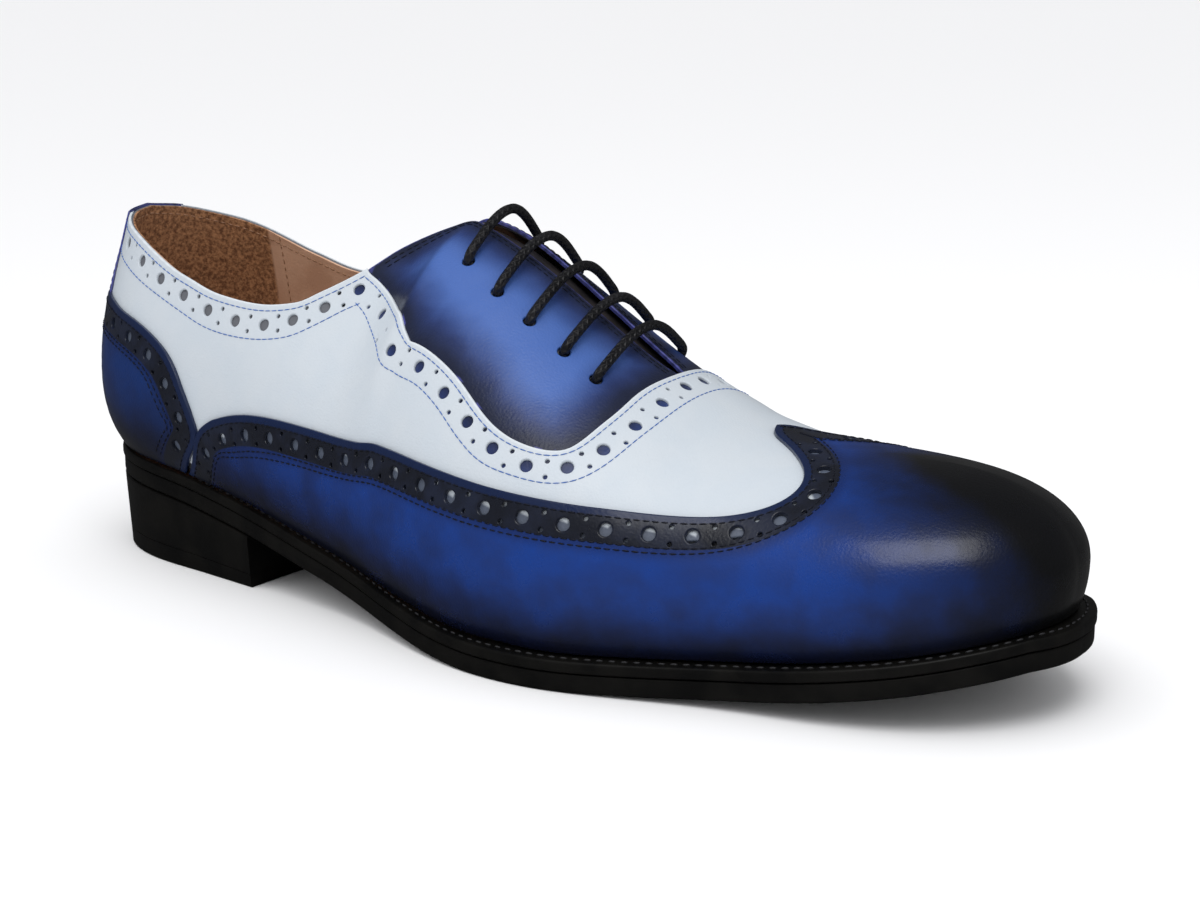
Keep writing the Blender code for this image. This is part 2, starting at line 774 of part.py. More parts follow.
def cord(name, path, collection):
    """Round closed cord along a path in one cross plane."""
    sides = 8
    bm = bmesh.new()
    rings = []
    tangents = np.gradient(path, axis=0)
    for middle, tangent in zip(path, tangents):
        tangent = tangent / np.linalg.norm(tangent)
        across = np.array([1.0, 0.0, 0.0]) - tangent[0] * tangent
        across /= np.linalg.norm(across)
        other = np.cross(tangent, across)
        angles = np.linspace(0.0, 2.0 * math.pi, sides, endpoint=False)
        ring = [middle + CORD_RADIUS * (math.cos(a) * across + math.sin(a) * other) for a in angles]
        rings.append([bm.verts.new(p) for p in ring])
    for lower, upper in zip(rings, rings[1:]):
        for k in range(sides):
            following = (k + 1) % sides
            bm.faces.new((lower[k], lower[following], upper[following], upper[k]))
    bm.faces.new(rings[0])
    bm.faces.new(rings[-1])
    bmesh.ops.recalc_face_normals(bm, faces=bm.faces)
    return add_object(name, bm, "black_cord", collection)


def centre_on_floor(collections):
    """Moves everything so that the shoe's box is centred on the origin and stands on the floor."""
    bpy.context.view_layer.update()
    depsgraph = bpy.context.evaluated_depsgraph_get()
    points = []
    for obj in collections[0].objects:
        mesh = obj.evaluated_get(depsgraph).to_mesh()
        points += [tuple(v.co) for v in mesh.vertices]
    low = np.min(points, axis=0)
    high = np.max(points, axis=0)
    shift = np.array([-(low[0] + high[0]) / 2.0, -(low[1] + high[1]) / 2.0, -low[2]])
    for collection in collections:
        for obj in collection.objects:
            for vertex in obj.data.vertices:
                vertex.co += type(vertex.co)(shift)
    return shift


def main():
    """Builds the shoe."""
    for obj in list(bpy.data.objects):
        bpy.data.objects.remove(obj, do_unlink=True)
    parts = bpy.data.collections.new("spectator_shoe")
    cutters = bpy.data.collections.new("cutters")
    for collection in (parts, cutters):
        bpy.context.scene.collection.children.link(collection)
    build_upper(parts, cutters)
    build_wingtip(parts)
    build_counter(parts)
    build_strip(parts)
    build_tongue(parts)
    build_bottom(parts)
    build_lace(parts)
    centre_on_floor((parts, cutters))


main()
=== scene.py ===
"""Leather, stitching, lace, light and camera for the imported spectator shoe.

Metres. The last's own coordinates are a station along the foot (0 at the heel's back, 1 at the toe tip)
and a way down each side (0 at the top, 1 at the feather line), as in the part's source.
"""
import logging
import math
from dataclasses import dataclass, field
from enum import Enum
from typing import Callable, Iterable, Optional, Sequence

import bpy
import bmesh
import numpy as np
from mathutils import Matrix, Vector
from mathutils.geometry import delaunay_2d_cdt
from mathutils.kdtree import KDTree


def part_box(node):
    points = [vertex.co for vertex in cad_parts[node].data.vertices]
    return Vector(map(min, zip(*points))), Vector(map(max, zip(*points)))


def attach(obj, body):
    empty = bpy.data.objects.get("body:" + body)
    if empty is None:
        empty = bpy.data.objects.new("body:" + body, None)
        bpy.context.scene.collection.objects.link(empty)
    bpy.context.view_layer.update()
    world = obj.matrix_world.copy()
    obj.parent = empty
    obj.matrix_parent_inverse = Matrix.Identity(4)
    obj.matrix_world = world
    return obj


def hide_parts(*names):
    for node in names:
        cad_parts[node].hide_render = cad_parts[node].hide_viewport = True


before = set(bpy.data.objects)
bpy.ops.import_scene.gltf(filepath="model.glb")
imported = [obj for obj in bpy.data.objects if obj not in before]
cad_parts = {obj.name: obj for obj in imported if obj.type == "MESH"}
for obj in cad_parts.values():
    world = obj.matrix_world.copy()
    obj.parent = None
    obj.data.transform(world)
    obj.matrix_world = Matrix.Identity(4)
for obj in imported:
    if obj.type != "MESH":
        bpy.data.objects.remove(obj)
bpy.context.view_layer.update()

logging.basicConfig(level=logging.INFO, format="%(message)s")
LOG = logging.getLogger("shoe")

Array = np.ndarray
Curve = Callable[[Array], Array]
Table = Sequence[Sequence[float]]
Mesh = bpy.types.Mesh
Object = bpy.types.Object
Material = bpy.types.Material
Node = bpy.types.Node
NodeTree = bpy.types.NodeTree
Socket = bpy.types.NodeSocket
# The one body that every piece rides on
BODY = "root"
# Small steps: for slopes along the surface, and for comparing places
NUDGE = 1e-4
TINY = 1e-9
# Height of a thread's middle over the leather
RAISED = 0.00004
# Distances from a dark border's edge: its row of holes, its inner end, its rows of stitches
HOLE_LINE = 0.0052
BORDER = 0.0086
BORDER_ROWS = (0.0021, BORDER, BORDER + 0.0013)
# Way down at which a section is widest
WIDEST = 0.75
# Flat millimetres for a whole station and a whole way down
FLAT = np.array([300.0, 95.0])


class Side(Enum):
    """The two sides of the foot, by the sign of their y."""

    LATERAL = -1
    MEDIAL = 1


def smooth(knots: Array, values: Array, free: bool = False) -> Curve:
    """Twice-smooth curve through knots.

    Args:
        knots: rising places.
        values: value at each place.
        free: leaves the ends unbent instead of level.
    Returns:
        The curve as a function.
    """
    count = len(knots)
    gap = np.diff(knots)
    rise = np.diff(values) / gap
    matrix = np.eye(count)
    right = np.zeros(count)
    if not free:
        matrix[0, :2] = 2.0 * gap[0], gap[0]
        right[0] = 6.0 * rise[0]
        matrix[-1, -2:] = gap[-1], 2.0 * gap[-1]
        right[-1] = -6.0 * rise[-1]
    for i in range(1, count - 1):
        matrix[i, i - 1:i + 2] = gap[i - 1], 2.0 * (gap[i - 1] + gap[i]), gap[i]
        right[i] = 6.0 * (rise[i] - rise[i - 1])
    bend = np.linalg.solve(matrix, right)

    def at(x: Array) -> Array:
        """Value of the curve.

        Args:
            x: places on the axis.
        Returns:
            Values at those places.
        """
        x = np.clip(x, knots[0], knots[-1])
        i = np.clip(np.searchsorted(knots, x) - 1, 0, count - 2)
        before, after = x - knots[i], knots[i + 1] - x
        cubic = (bend[i] * after ** 3 + bend[i + 1] * before ** 3) / (6.0 * gap[i])
        return (cubic + (values[i] / gap[i] - bend[i] * gap[i] / 6.0) * after
                + (values[i + 1] / gap[i] - bend[i + 1] * gap[i] / 6.0) * before)

    return at


def steady(knots: Array, values: Array) -> Curve:
    """Smooth curve through knots that never overshoots them.

    Args:
        knots: rising places.
        values: value at each place.
    Returns:
        The curve as a function.
    """
    gap = np.diff(knots)
    rise = np.diff(values) / gap
    slope = np.zeros(len(knots))
    same = rise[:-1] * rise[1:] > 0.0
    total = gap[:-1] + gap[1:]
    share = (total + gap[1:]) / (3.0 * total)
    mixed = share * np.where(same, rise[1:], 1.0) + (1.0 - share) * np.where(same, rise[:-1], 1.0)
    slope[1:-1] = np.where(same, rise[:-1] * rise[1:] / mixed, 0.0)
    slope[0], slope[-1] = rise[0], rise[-1]

    def at(x: Array) -> Array:
        """Value of the curve.

        Args:
            x: places on the axis.
        Returns:
            Values at those places.
        """
        x = np.clip(x, knots[0], knots[-1])
        i = np.clip(np.searchsorted(knots, x) - 1, 0, len(knots) - 2)
        t = (x - knots[i]) / gap[i]
        return (values[i] * (1.0 + 2.0 * t) * (1.0 - t) ** 2 + values[i + 1] * t * t * (3.0 - 2.0 * t)
                + gap[i] * t * (1.0 - t) * (slope[i] * (1.0 - t) - slope[i + 1] * t))

    return at


def bezier(a: Array, b: Array, c: Array, d: Array, t: Array) -> Array:
    """Cubic through four handles."""
    return a * (1.0 - t) ** 3 + 3.0 * b * t * (1.0 - t) ** 2 + 3.0 * c * t * t * (1.0 - t) + d * t ** 3


# Half widths and swells as shares of the ball width, rise of the swell as a share of the instep height,
# and the pulls of the section's curve
SECTIONS = (
    (0.00, 0.280, 0.280, 0.066, 0.066, 0.20, 0.33, 0.33),
    (0.10, 0.308, 0.306, 0.066, 0.066, 0.20, 0.33, 0.38),
    (0.20, 0.352, 0.325, 0.052, 0.056, 0.21, 0.33, 0.40),
    (0.30, 0.394, 0.290, 0.060, 0.090, 0.22, 0.34, 0.42),
    (0.40, 0.448, 0.275, 0.065, 0.110, 0.22, 0.42, 0.44),
    (0.50, 0.548, 0.320, 0.055, 0.090, 0.20, 0.50, 0.50),
    (0.62, 0.589, 0.395, 0.040, 0.055, 0.15, 0.53, 0.55),
    (0.74, 0.490, 0.410, 0.035, 0.040, 0.13, 0.60, 0.57),
    (0.87, 0.408, 0.385, 0.030, 0.030, 0.12, 0.53, 0.58),
    (1.00, 0.356, 0.356, 0.025, 0.025, 0.11, 0.60, 0.58),
)
# Station, half width of the section's top over the ball width, and the angle at which it falls there
TOP = (
    (0.00, 0.245, 76.0), (0.10, 0.255, 77.0), (0.20, 0.245, 76.0), (0.30, 0.190, 72.0),
    (0.36, 0.110, 62.0), (0.41, 0.020, 30.0), (0.44, 0.000, 0.0), (1.00, 0.000, 0.0),
)
# Station, and the centre line's height over the instep height
RIDGE = (
    (0.05, 0.995), (0.15, 0.990), (0.25, 0.975), (0.36, 0.985), (0.43, 1.012), (0.50, 0.931),
    (0.58, 0.782), (0.66, 0.642), (0.76, 0.541), (0.84, 0.525), (0.90, 0.522),
)
# Station, share of the heel's pitch, and share of the toe's spring
FEATHER = (
    (0.00, 1.00, 0.00), (0.11, 0.93, 0.00), (0.22, 0.74, 0.00), (0.34, 0.41, 0.00),
    (0.45, 0.13, 0.00), (0.53, 0.02, 0.00), (0.57, 0.00, 0.00), (0.63, 0.00, 0.00),
    (0.70, 0.00, 0.05), (0.80, 0.00, 0.22), (0.90, 0.00, 0.55), (1.00, 0.00, 1.00),
)
# Station, and the sole's margin past the feather line over the ball width
MARGIN = (
    (0.00, 0.021), (0.12, 0.027), (0.25, 0.032), (0.40, 0.043), (0.55, 0.059), (0.70, 0.064), (1.00, 0.064),
)
# Station, and the collar's height over the instep height
COLLAR = (
    (0.000, 0.960), (0.060, 0.952), (0.100, 0.915), (0.150, 0.822), (0.200, 0.781), (0.250, 0.769),
    (0.287, 0.781), (0.310, 0.812), (0.340, 0.862), (0.370, 0.928), (0.397, 0.972), (0.420, 1.000),
    (0.440, 1.030),
)
# Station, and half the gap between the facings over the ball width
THROAT = (
    (0.400, 0.030), (0.430, 0.042), (0.470, 0.056), (0.520, 0.047), (0.580, 0.037), (0.620, 0.029),
    (0.638, 0.020), (0.645, 0.000),
)
# Soft creases: side (0 both), station, down, reach along and across in mm, turn in degrees, height in mm
CREASES = (
    (0, 0.655, 0.800, 9.0, 26.0, 28.0, 0.35),
    (0, 0.605, 0.790, 8.0, 26.0, 24.0, -0.40),
    (0, 0.545, 0.850, 10.0, 24.0, 10.0, 0.28),
    (0, 0.400, 0.800, 16.0, 20.0, -18.0, 0.30),
    (0, 0.330, 0.600, 22.0, 9.0, 5.0, -0.25),
    (0, 0.705, 0.230, 5.0, 24.0, 8.0, -0.30),
    (0, 0.680, 0.300, 5.0, 22.0, 4.0, 0.18),
    (0, 0.225, 0.620, 14.0, 18.0, 30.0, -0.30),
)


def table_curve(table: Table, index: int, scale: float = 1.0,
                kind: Callable = steady) -> Curve:
    """Curve of one column of a table over its first column."""
    data = np.array(table, float)
    return kind(data[:, 0], data[:, index] * scale)


@dataclass
class Last:
    """The last that gives every form of the upper."""

    length: float = 0.300
    ball_width: float = 0.0935
    instep: float = 0.105
    heel_pitch: float = 0.0313
    ball_seat: float = 0.0085
    toe_spring: float = 0.0142
    heel_radius: float = 0.0262
    toe_radius: float = 0.0333
    shift: Array = field(default_factory=lambda: np.zeros(3))

    def __post_init__(self) -> None:
        """Makes the curves of the tables."""
        ball, height = self.ball_width, self.instep
        self.half = {Side.LATERAL: table_curve(SECTIONS, 1, ball, smooth),
                     Side.MEDIAL: table_curve(SECTIONS, 2, ball, smooth)}
        self.swell = {Side.LATERAL: table_curve(SECTIONS, 3, ball, smooth),
                      Side.MEDIAL: table_curve(SECTIONS, 4, ball, smooth)}
        self.swell_rise = table_curve(SECTIONS, 5, height, smooth)
        self.top_pull = table_curve(SECTIONS, 6, 1.0, smooth)
        self.side_pull = table_curve(SECTIONS, 7, 1.0, smooth)
        self.top_half = table_curve(TOP, 1, ball)
        self.top_fall = table_curve(TOP, 2, math.pi / 180.0)
        self.ridge = table_curve(RIDGE, 1, height, smooth)
        self.pitch = table_curve(FEATHER, 1)
        self.spring = table_curve(FEATHER, 2)
        self.margin = table_curve(MARGIN, 1, ball)
        self.collar = table_curve(COLLAR, 1, height)
        self.half_gap = table_curve(THROAT, 1, ball)

    def feather(self, x: Array) -> Array:
        """Height of the feather line over the floor."""
        share = x / self.length
        return (self.ball_seat + (self.heel_pitch - self.ball_seat) * self.pitch(share)
                + self.toe_spring * self.spring(share))

    def plane(self, station: Array) -> tuple[Array, Array]:
        """Place of the section plane on the axis, and its turn from square.

        Args:
            station: share of the way from heel to toe.
        Returns:
            Place on the axis, and turn in radians.
        """
        def ease(t: Array) -> Array:
            """Share of the turn."""
            return t ** 3 * (11.2 - 18.0 * t + 7.8 * t * t)

        def way(t: Array) -> Array:
            """Share of the way lost by the turn."""
            return t ** 4 * (2.8 - 3.6 * t + 1.3 * t * t)

        s = station * self.length
        toe, heel = 2.0 * self.toe_radius, 2.0 * self.heel_radius
        at_toe = np.clip((s - (self.length - toe)) / toe, 0.0, 1.0)
        at_heel = np.clip((heel - s) / heel, 0.0, 1.0)
        x = np.where(at_toe > 0.0, self.length - toe + toe * (at_toe - way(at_toe)), s)
        x = np.where(at_heel > 0.0, heel - heel * (at_heel - way(at_heel)), x)
        return x, (ease(at_toe) - ease(at_heel)) * math.pi / 2.0

    def surface(self, side: Side, station: Array, down: Array) -> Array:
        """Points of the last's surface, in the last's own coordinates.

        Args:
            side: side of the shoe.
            station: share of the way from heel to toe.
            down: share of the way from centre line to feather line.
        Returns:
            Points in metres.
        """
        station, down = np.broadcast_arrays(np.asarray(station, float), np.asarray(down, float))
        x, turn = self.plane(station)
        feather_r = self.half[side](station)
        feather_z = self.feather(x + feather_r * np.sin(turn))
        wide_r = feather_r + self.swell[side](station)
        wide_z = feather_z + self.swell_rise(station)
        top_r = self.top_half(station)
        along = x / self.length
        top_z = self.ridge(along)
        slope = (self.ridge(along + NUDGE) - self.ridge(along - NUDGE)) / (2 * NUDGE * self.length)
        fall = self.top_fall(station)
        out_r = np.cos(fall)
        out_z = slope * np.sin(turn) * np.cos(fall) - np.sin(fall)
        size = np.hypot(out_r, out_z)
        reach = np.maximum(((wide_r - top_r) * out_r + (wide_z - top_z) * out_z) / size, 0.004)
        pull = self.top_pull(station) * reach / size
        upper = np.clip(down / WIDEST, 0.0, 1.0)
        lower = np.clip((down - WIDEST) / (1.0 - WIDEST), 0.0, 1.0)
        side_z = wide_z + self.side_pull(station) * (top_z - wide_z)
        r = np.where(down <= WIDEST,
                     bezier(top_r, top_r + pull * out_r, wide_r, wide_r, upper),
                     bezier(wide_r, wide_r, feather_r + 0.62 * (wide_r - feather_r), feather_r, lower))
        z = np.where(down <= WIDEST,
                     bezier(top_z, top_z + pull * out_z, side_z, wide_z, upper),
                     bezier(wide_z, wide_z - 0.45 * (wide_z - feather_z),
                            feather_z + 0.25 * (wide_z - feather_z), feather_z, lower))
        return np.stack([x + r * np.sin(turn), side.value * r * np.cos(turn), z], -1)

    def normal(self, side: Side, station: Array, down: Array) -> Array:
        """Outward unit normals of the plain last, flat across the centre line.

        Args:
            side: side of the shoe.
            station: share of the way from heel to toe.
            down: share of the way from centre line to feather line.
        Returns:
            Unit normals.
        """
        station, down = np.broadcast_arrays(np.asarray(station, float), np.asarray(down, float))
        below = np.maximum(down, NUDGE)
        along = (self.surface(side, np.minimum(station + NUDGE, 1.0), below)
                 - self.surface(side, np.maximum(station - NUDGE, 0.0), below))
        across = (self.surface(side, station, np.minimum(down + NUDGE, 1.0))
                  - self.surface(side, station, np.maximum(down - NUDGE, 0.0)))
        return self.levelled(side.value * np.cross(along, across), station, down)

    def levelled(self, normal: Array, station: Array, down: Array) -> Array:
        """Unit normals with no sideways part on the centre line.

        Args:
            normal: normals to level.
            station: share of the way from heel to toe.
            down: share of the way from centre line to feather line.
        Returns:
            Unit normals.
        """
        middle = (down <= TINY) & (self.top_half(station) <= 0.0)
        centre = (station <= TINY) | (station >= 1.0 - TINY) | middle
        normal[..., 1] = np.where(centre, 0.0, normal[..., 1])
        return normal / np.linalg.norm(normal, axis=-1, keepdims=True)

    def crease(self, side: Side, station: Array, down: Array) -> Array:
        """Height of the soft creases over the plain last.

        Args:
            side: side of the shoe.
            station: share of the way from heel to toe.
            down: share of the way from centre line to feather line.
        Returns:
            Heights in metres.
        """
        total = np.zeros(np.broadcast(station, down).shape)
        for which, at_s, at_d, along, across, turn, height in CREASES:
            if which in (0, side.value):
                p, q = (station - at_s) * FLAT[0], (down - at_d) * FLAT[1]
                c, s = math.cos(math.radians(turn)), math.sin(math.radians(turn))
                far = ((p * c + q * s) / along) ** 2 + ((q * c - p * s) / across) ** 2
                total = total + height * 1e-3 * np.exp(-far)
        return total

    def form(self, side: Side, flat: Array, lift: Array | float = 0.0) -> Array:
        """Points in the shoe's frame.

        Args:
            side: side of the foot.
            flat: places in flat millimetres, station and down times FLAT.
            lift: height over the last's surface.
        Returns:
            The points.
        """
        s = np.clip(flat[..., 0] / FLAT[0], 0.0, 1.0)
        d = np.clip(flat[..., 1] / FLAT[1], 0.0, 1.0)
        rise = self.crease(side, s, d) + lift
        return self.surface(side, s, d) + rise[..., None] * self.normal(side, s, d) + self.shift

    def facing(self, side: Side, flat: Array) -> tuple[Array, Array, Array]:
        """Creased surface's unit normals and its two steps for a flat millimetre.

        Args:
            side: side of the shoe.
            flat: flat places in millimetres.
        Returns:
            Normals and the two steps.
        """
        step = 0.05
        steps = []
        for axis in (0, 1):
            low, high = flat.copy(), flat.copy()
            low[..., axis] = np.maximum(flat[..., axis] - step, 0.0)
            high[..., axis] = np.minimum(flat[..., axis] + step, FLAT[axis])
            if axis == 0:
                low[..., 1] = np.maximum(low[..., 1], 0.01)
                high[..., 1] = np.maximum(high[..., 1], 0.01)
            way = high[..., axis] - low[..., axis]
            steps.append((self.form(side, high) - self.form(side, low)) / way[..., None])
        share = flat / FLAT
        normal = self.levelled(side.value * np.cross(steps[0], steps[1]), share[..., 0], share[..., 1])
        return normal, steps[0], steps[1]

    def moved(self, side: Side, flat: Array, way: Array) -> Array:
        """Flat places after a step along the surface, given as vectors in space.

        Args:
            side: side of the shoe.
            flat: flat places in millimetres.
            way: steps in space.
        Returns:
            Flat places in millimetres.
        """
        _, a, b = self.facing(side, flat)
        aa, ab, bb = (a * a).sum(-1), (a * b).sum(-1), (b * b).sum(-1)
        wa, wb = (way * a).sum(-1), (way * b).sum(-1)
        scale = aa * bb - ab * ab
        return flat + np.stack([(wa * bb - wb * ab) / scale, (wb * aa - wa * ab) / scale], -1)

    def down_at_height(self, side: Side, station: float, height: float) -> float:
        """Way down at which a section passes a height.

        Args:
            side: side of the shoe.
            station: share of the way from heel to toe.
            height: height in metres.
        Returns:
            Share of the way down.
        """
        downs = np.linspace(0.0, WIDEST, 241)
        heights = self.surface(side, station, downs)[:, 2]
        top = int(np.argmax(heights))
        return 0.0 if height >= heights[top] else float(np.interp(-height, -heights[top:], downs[top:]))

    def down_at_width(self, side: Side, station: float, width: float) -> float:
        """Way down at which a section passes a distance from the centre line."""
        downs = np.linspace(0.0, WIDEST, 241)
        return float(np.interp(width, np.abs(self.surface(side, station, downs)[:, 1]), downs))

    def edge_down(self, side: Side, station: float) -> float:
        """Top edge of the upper: the collar behind, the facing's edge before it.

        Args:
            side: side of the shoe.
            station: share of the way from heel to toe.
        Returns:
            Share of the way down.
        """
        behind = self.down_at_height(side, station, float(self.collar(station)))
        if station < THROAT[0][0]:
            return behind
        if station >= THROAT[-1][0]:
            return 0.0
        return max(behind if station < COLLAR[-1][0] else 0.0,
                   self.down_at_width(side, station, float(self.half_gap(station))))

    def outline(self, side: Side, station: Array, margin: Array | float) -> tuple[Array, Array]:
        """Plan of the feather line moved out by a margin.

        Args:
            side: side of the shoe.
            station: share of the way from heel to toe.
            margin: way out in metres.
        Returns:
            The plan's two coordinates in metres.
        """
        x, turn = self.plane(station)
        r = self.half[side](station) + margin
        return x + r * np.sin(turn), side.value * r * np.cos(turn)


def ways(points: Array) -> Array:
    """Length along a polyline up to each of its points."""
    return np.concatenate([[0.0], np.cumsum(np.linalg.norm(np.diff(points, axis=0), axis=1))])


def spread(points: Array, step: float) -> Array:
    """Points at even spacing along a polyline, both ends kept.

    Args:
        points: points in their order.
        step: spacing along the path.
    Returns:
        Points of the same number of columns.
    """
    way = ways(points)
    count = max(int(round(way[-1] / step)), 1) + 1
    return np.stack([np.interp(np.linspace(0.0, way[-1], count), way, points[:, k])
                     for k in range(points.shape[1])], -1)


def curve(table: Table, step: float = 1.2) -> Array:
    """Smooth flat path through (station, down) rows at even spacing.

    Args:
        table: rows of station and way down.
        step: spacing along the path.
    Returns:
        Flat points in millimetres.
    """
    points = np.array(table, float) * FLAT
    way = ways(points)
    fine = np.linspace(0.0, way[-1], int(way[-1] / 0.25) + 2)
    return spread(np.stack([smooth(way, points[:, k], True)(fine) for k in (0, 1)], -1), step)


def line(table: Table, step: float = 1.2) -> Array:
    """Straight-sided flat path through (station, down) rows at even spacing."""
    return spread(np.array(table, float) * FLAT, step)


def join(*paths: Array) -> Array:
    """One path of several that meet end to end.

    Args:
        paths: the paths, in their order.
    Returns:
        Points of the whole path.
    """
    parts = [paths[0]]
    for path in paths[1:]:
        parts.append(path[1:] if np.allclose(path[0], parts[-1][-1], atol=0.3) else path)
    return np.concatenate(parts)


def soften(path: Array, times: int) -> Array:
    """Path with its small bends taken out, its ends kept.

    Args:
        path: flat path in millimetres.
        times: how often it is smoothed.
    Returns:
        Points of the softer path.
    """
    path = path.copy()
    for _ in range(times):
        path[1:-1] = (path[:-2] + 2.0 * path[1:-1] + path[2:]) / 4.0
    return path


def area_of(loop: Array) -> float:
    """Signed area of a closed flat loop."""
    x, y = loop[:, 0], loop[:, 1]
    return 0.5 * float(np.sum(x * np.roll(y, -1) - np.roll(x, -1) * y))


def tangents(points: Array, closed: bool) -> Array:
    """Unit tangents of a polyline."""
    if closed:
        way = np.roll(points, -1, 0) - np.roll(points, 1, 0)
    else:
        way = np.gradient(points, axis=0)
    return way / np.maximum(np.linalg.norm(way, axis=-1, keepdims=True), 1e-12)


def inset(last: Last, side: Side, path: Array, distance: float, closed: bool = False,
          flip: int = 1) -> Array:
    """Flat path moved sideways along the surface, to the left of its way in the flat when flip is 1.

    Args:
        last: the last.
        side: side of the shoe.
        path: flat path in millimetres.
        distance: way to move, in metres.
        closed: whether the path is a loop.
        flip: 1 for the left of its way, -1 for the right.
    Returns:
        Flat points of the moved path.
    """
    normal, a, b = last.facing(side, path)
    space = tangents(last.form(side, path), closed)
    across = np.cross(normal, space)
    across /= np.linalg.norm(across, axis=-1, keepdims=True)
    flat_way = tangents(path, closed)
    left = -flat_way[:, 1, None] * a + flat_way[:, 0, None] * b
    across *= np.sign((across * left).sum(-1))[:, None] * flip
    return last.moved(side, path, across * distance)


def place_along(last: Last, side: Side, path: Array, pitch: float, start: float,
                count: int) -> list[tuple[Array, Array]]:
    """Places at even spacing in space along a flat path, each with its cross way in space.

    Args:
        last: the last.
        side: side of the shoe.
        path: flat path in millimetres.
        pitch: spacing in metres.
        start: where it starts.
        count: number of places.
    Returns:
        For each place its flat point and its cross way in space.
    """
    fine = spread(path, 0.4)
    points = last.form(side, fine)
    way = ways(points)
    normal, _, _ = last.facing(side, fine)
    tangent = tangents(points, False)
    found = []
    for k in range(count):
        at = start + k * pitch
        if at > way[-1]:
            break
        flat = np.array([np.interp(at, way, fine[:, 0]), np.interp(at, way, fine[:, 1])])
        i = int(np.clip(np.searchsorted(way, at), 0, len(fine) - 1))
        found.append((flat, np.cross(normal[i], tangent[i])))
    return found


@dataclass(frozen=True)
class Hole:
    """A punched hole: flat place, radius and number of corners."""

    flat: tuple[float, float]
    radius: float
    corners: int


@dataclass(frozen=True)
class Brogue:
    """A row of punched holes: one large, then a pair of small ones across the line."""

    large: float = 0.00165
    small: float = 0.00062
    pitch: float = 0.0107
    pair: float = 0.0021
    corners: int = 18
    small_corners: int = 10

    def along(self, last: Last, side: Side, path: Array, start: float, count: int) -> list[Hole]:
        """Large holes along a flat path, with the small pairs half way between them.

        Args:
            last: the last.
            side: side of the foot.
            path: flat path of the row's middle.
            start: way along the path to the first large hole.
            count: largest number of large holes.
        Returns:
            The holes.
        """
        between = start + 0.5 * self.pitch
        holes = [Hole(tuple(flat), self.large, self.corners)
                 for flat, _ in place_along(last, side, path, self.pitch, start, count)]
        for flat, across in place_along(last, side, path, self.pitch, between, count - 1):
            holes += self.both_sides(last, side, flat, across)
        return holes

    def both_sides(self, last: Last, side: Side, flat: Array, across: Array) -> list[Hole]:
        """The small holes on both sides of a flat place."""
        spots = [last.moved(side, flat[None], (sign * self.pair * across)[None])[0] for sign in (-1.0, 1.0)]
        return [Hole(tuple(spot), self.small, self.small_corners) for spot in spots]

    def through(self, last: Last, side: Side, table: Table) -> list[Hole]:
        """Large holes at the rows of a table, with the small pairs half way between them.

        Args:
            last: the last.
            side: side of the shoe.
            table: rows of station and way down.
        Returns:
            The holes.
        """
        knots = np.array(table) * FLAT
        path = curve(table, 0.3)
        near = [int(np.argmin(np.hypot(*(path - knot).T))) for knot in knots]
        holes = [Hole(tuple(knot), self.large, self.corners) for knot in knots]
        for first, second in zip(near, near[1:]):
            k = (first + second) // 2
            normal, _, _ = last.facing(side, path[k - 1:k + 2])
            points = last.form(side, path[k - 1:k + 2])
            across = np.cross(normal[1], points[2] - points[0])
            across /= np.linalg.norm(across)
            holes += self.both_sides(last, side, path[k], across)
        return holes


# Steps of the rounded edge from its outer wall to the top: of a rim, and of a hole
ROLL = np.radians([90.0, 60.0, 30.0, 0.0])
ROLL_HOLE = np.radians([90.0, 45.0, 0.0])


def inside(points: Array, loop: Array) -> Array:
    """Which flat points lie inside a closed loop.

    Args:
        points: points in their order.
        loop: closed flat loop.
    Returns:
        One flag for each point.
    """
    result = np.zeros(len(points), bool)
    x, y = points[:, 0], points[:, 1]
    for (ax, ay), (bx, by) in zip(loop, np.roll(loop, -1, 0)):
        if ay == by:
            continue
        cross = (ay > y) != (by > y)
        result ^= cross & (x < (bx - ax) * (y - ay) / (by - ay) + ax)
    return result


@dataclass
class HalfPanel:
    """One side of a panel: its points and the faces of its outer skin."""

    flat: Array
    angle: Array
    tilt: Array
    faces: Array
    walls: Array
    centre: list[int]
    pins: dict


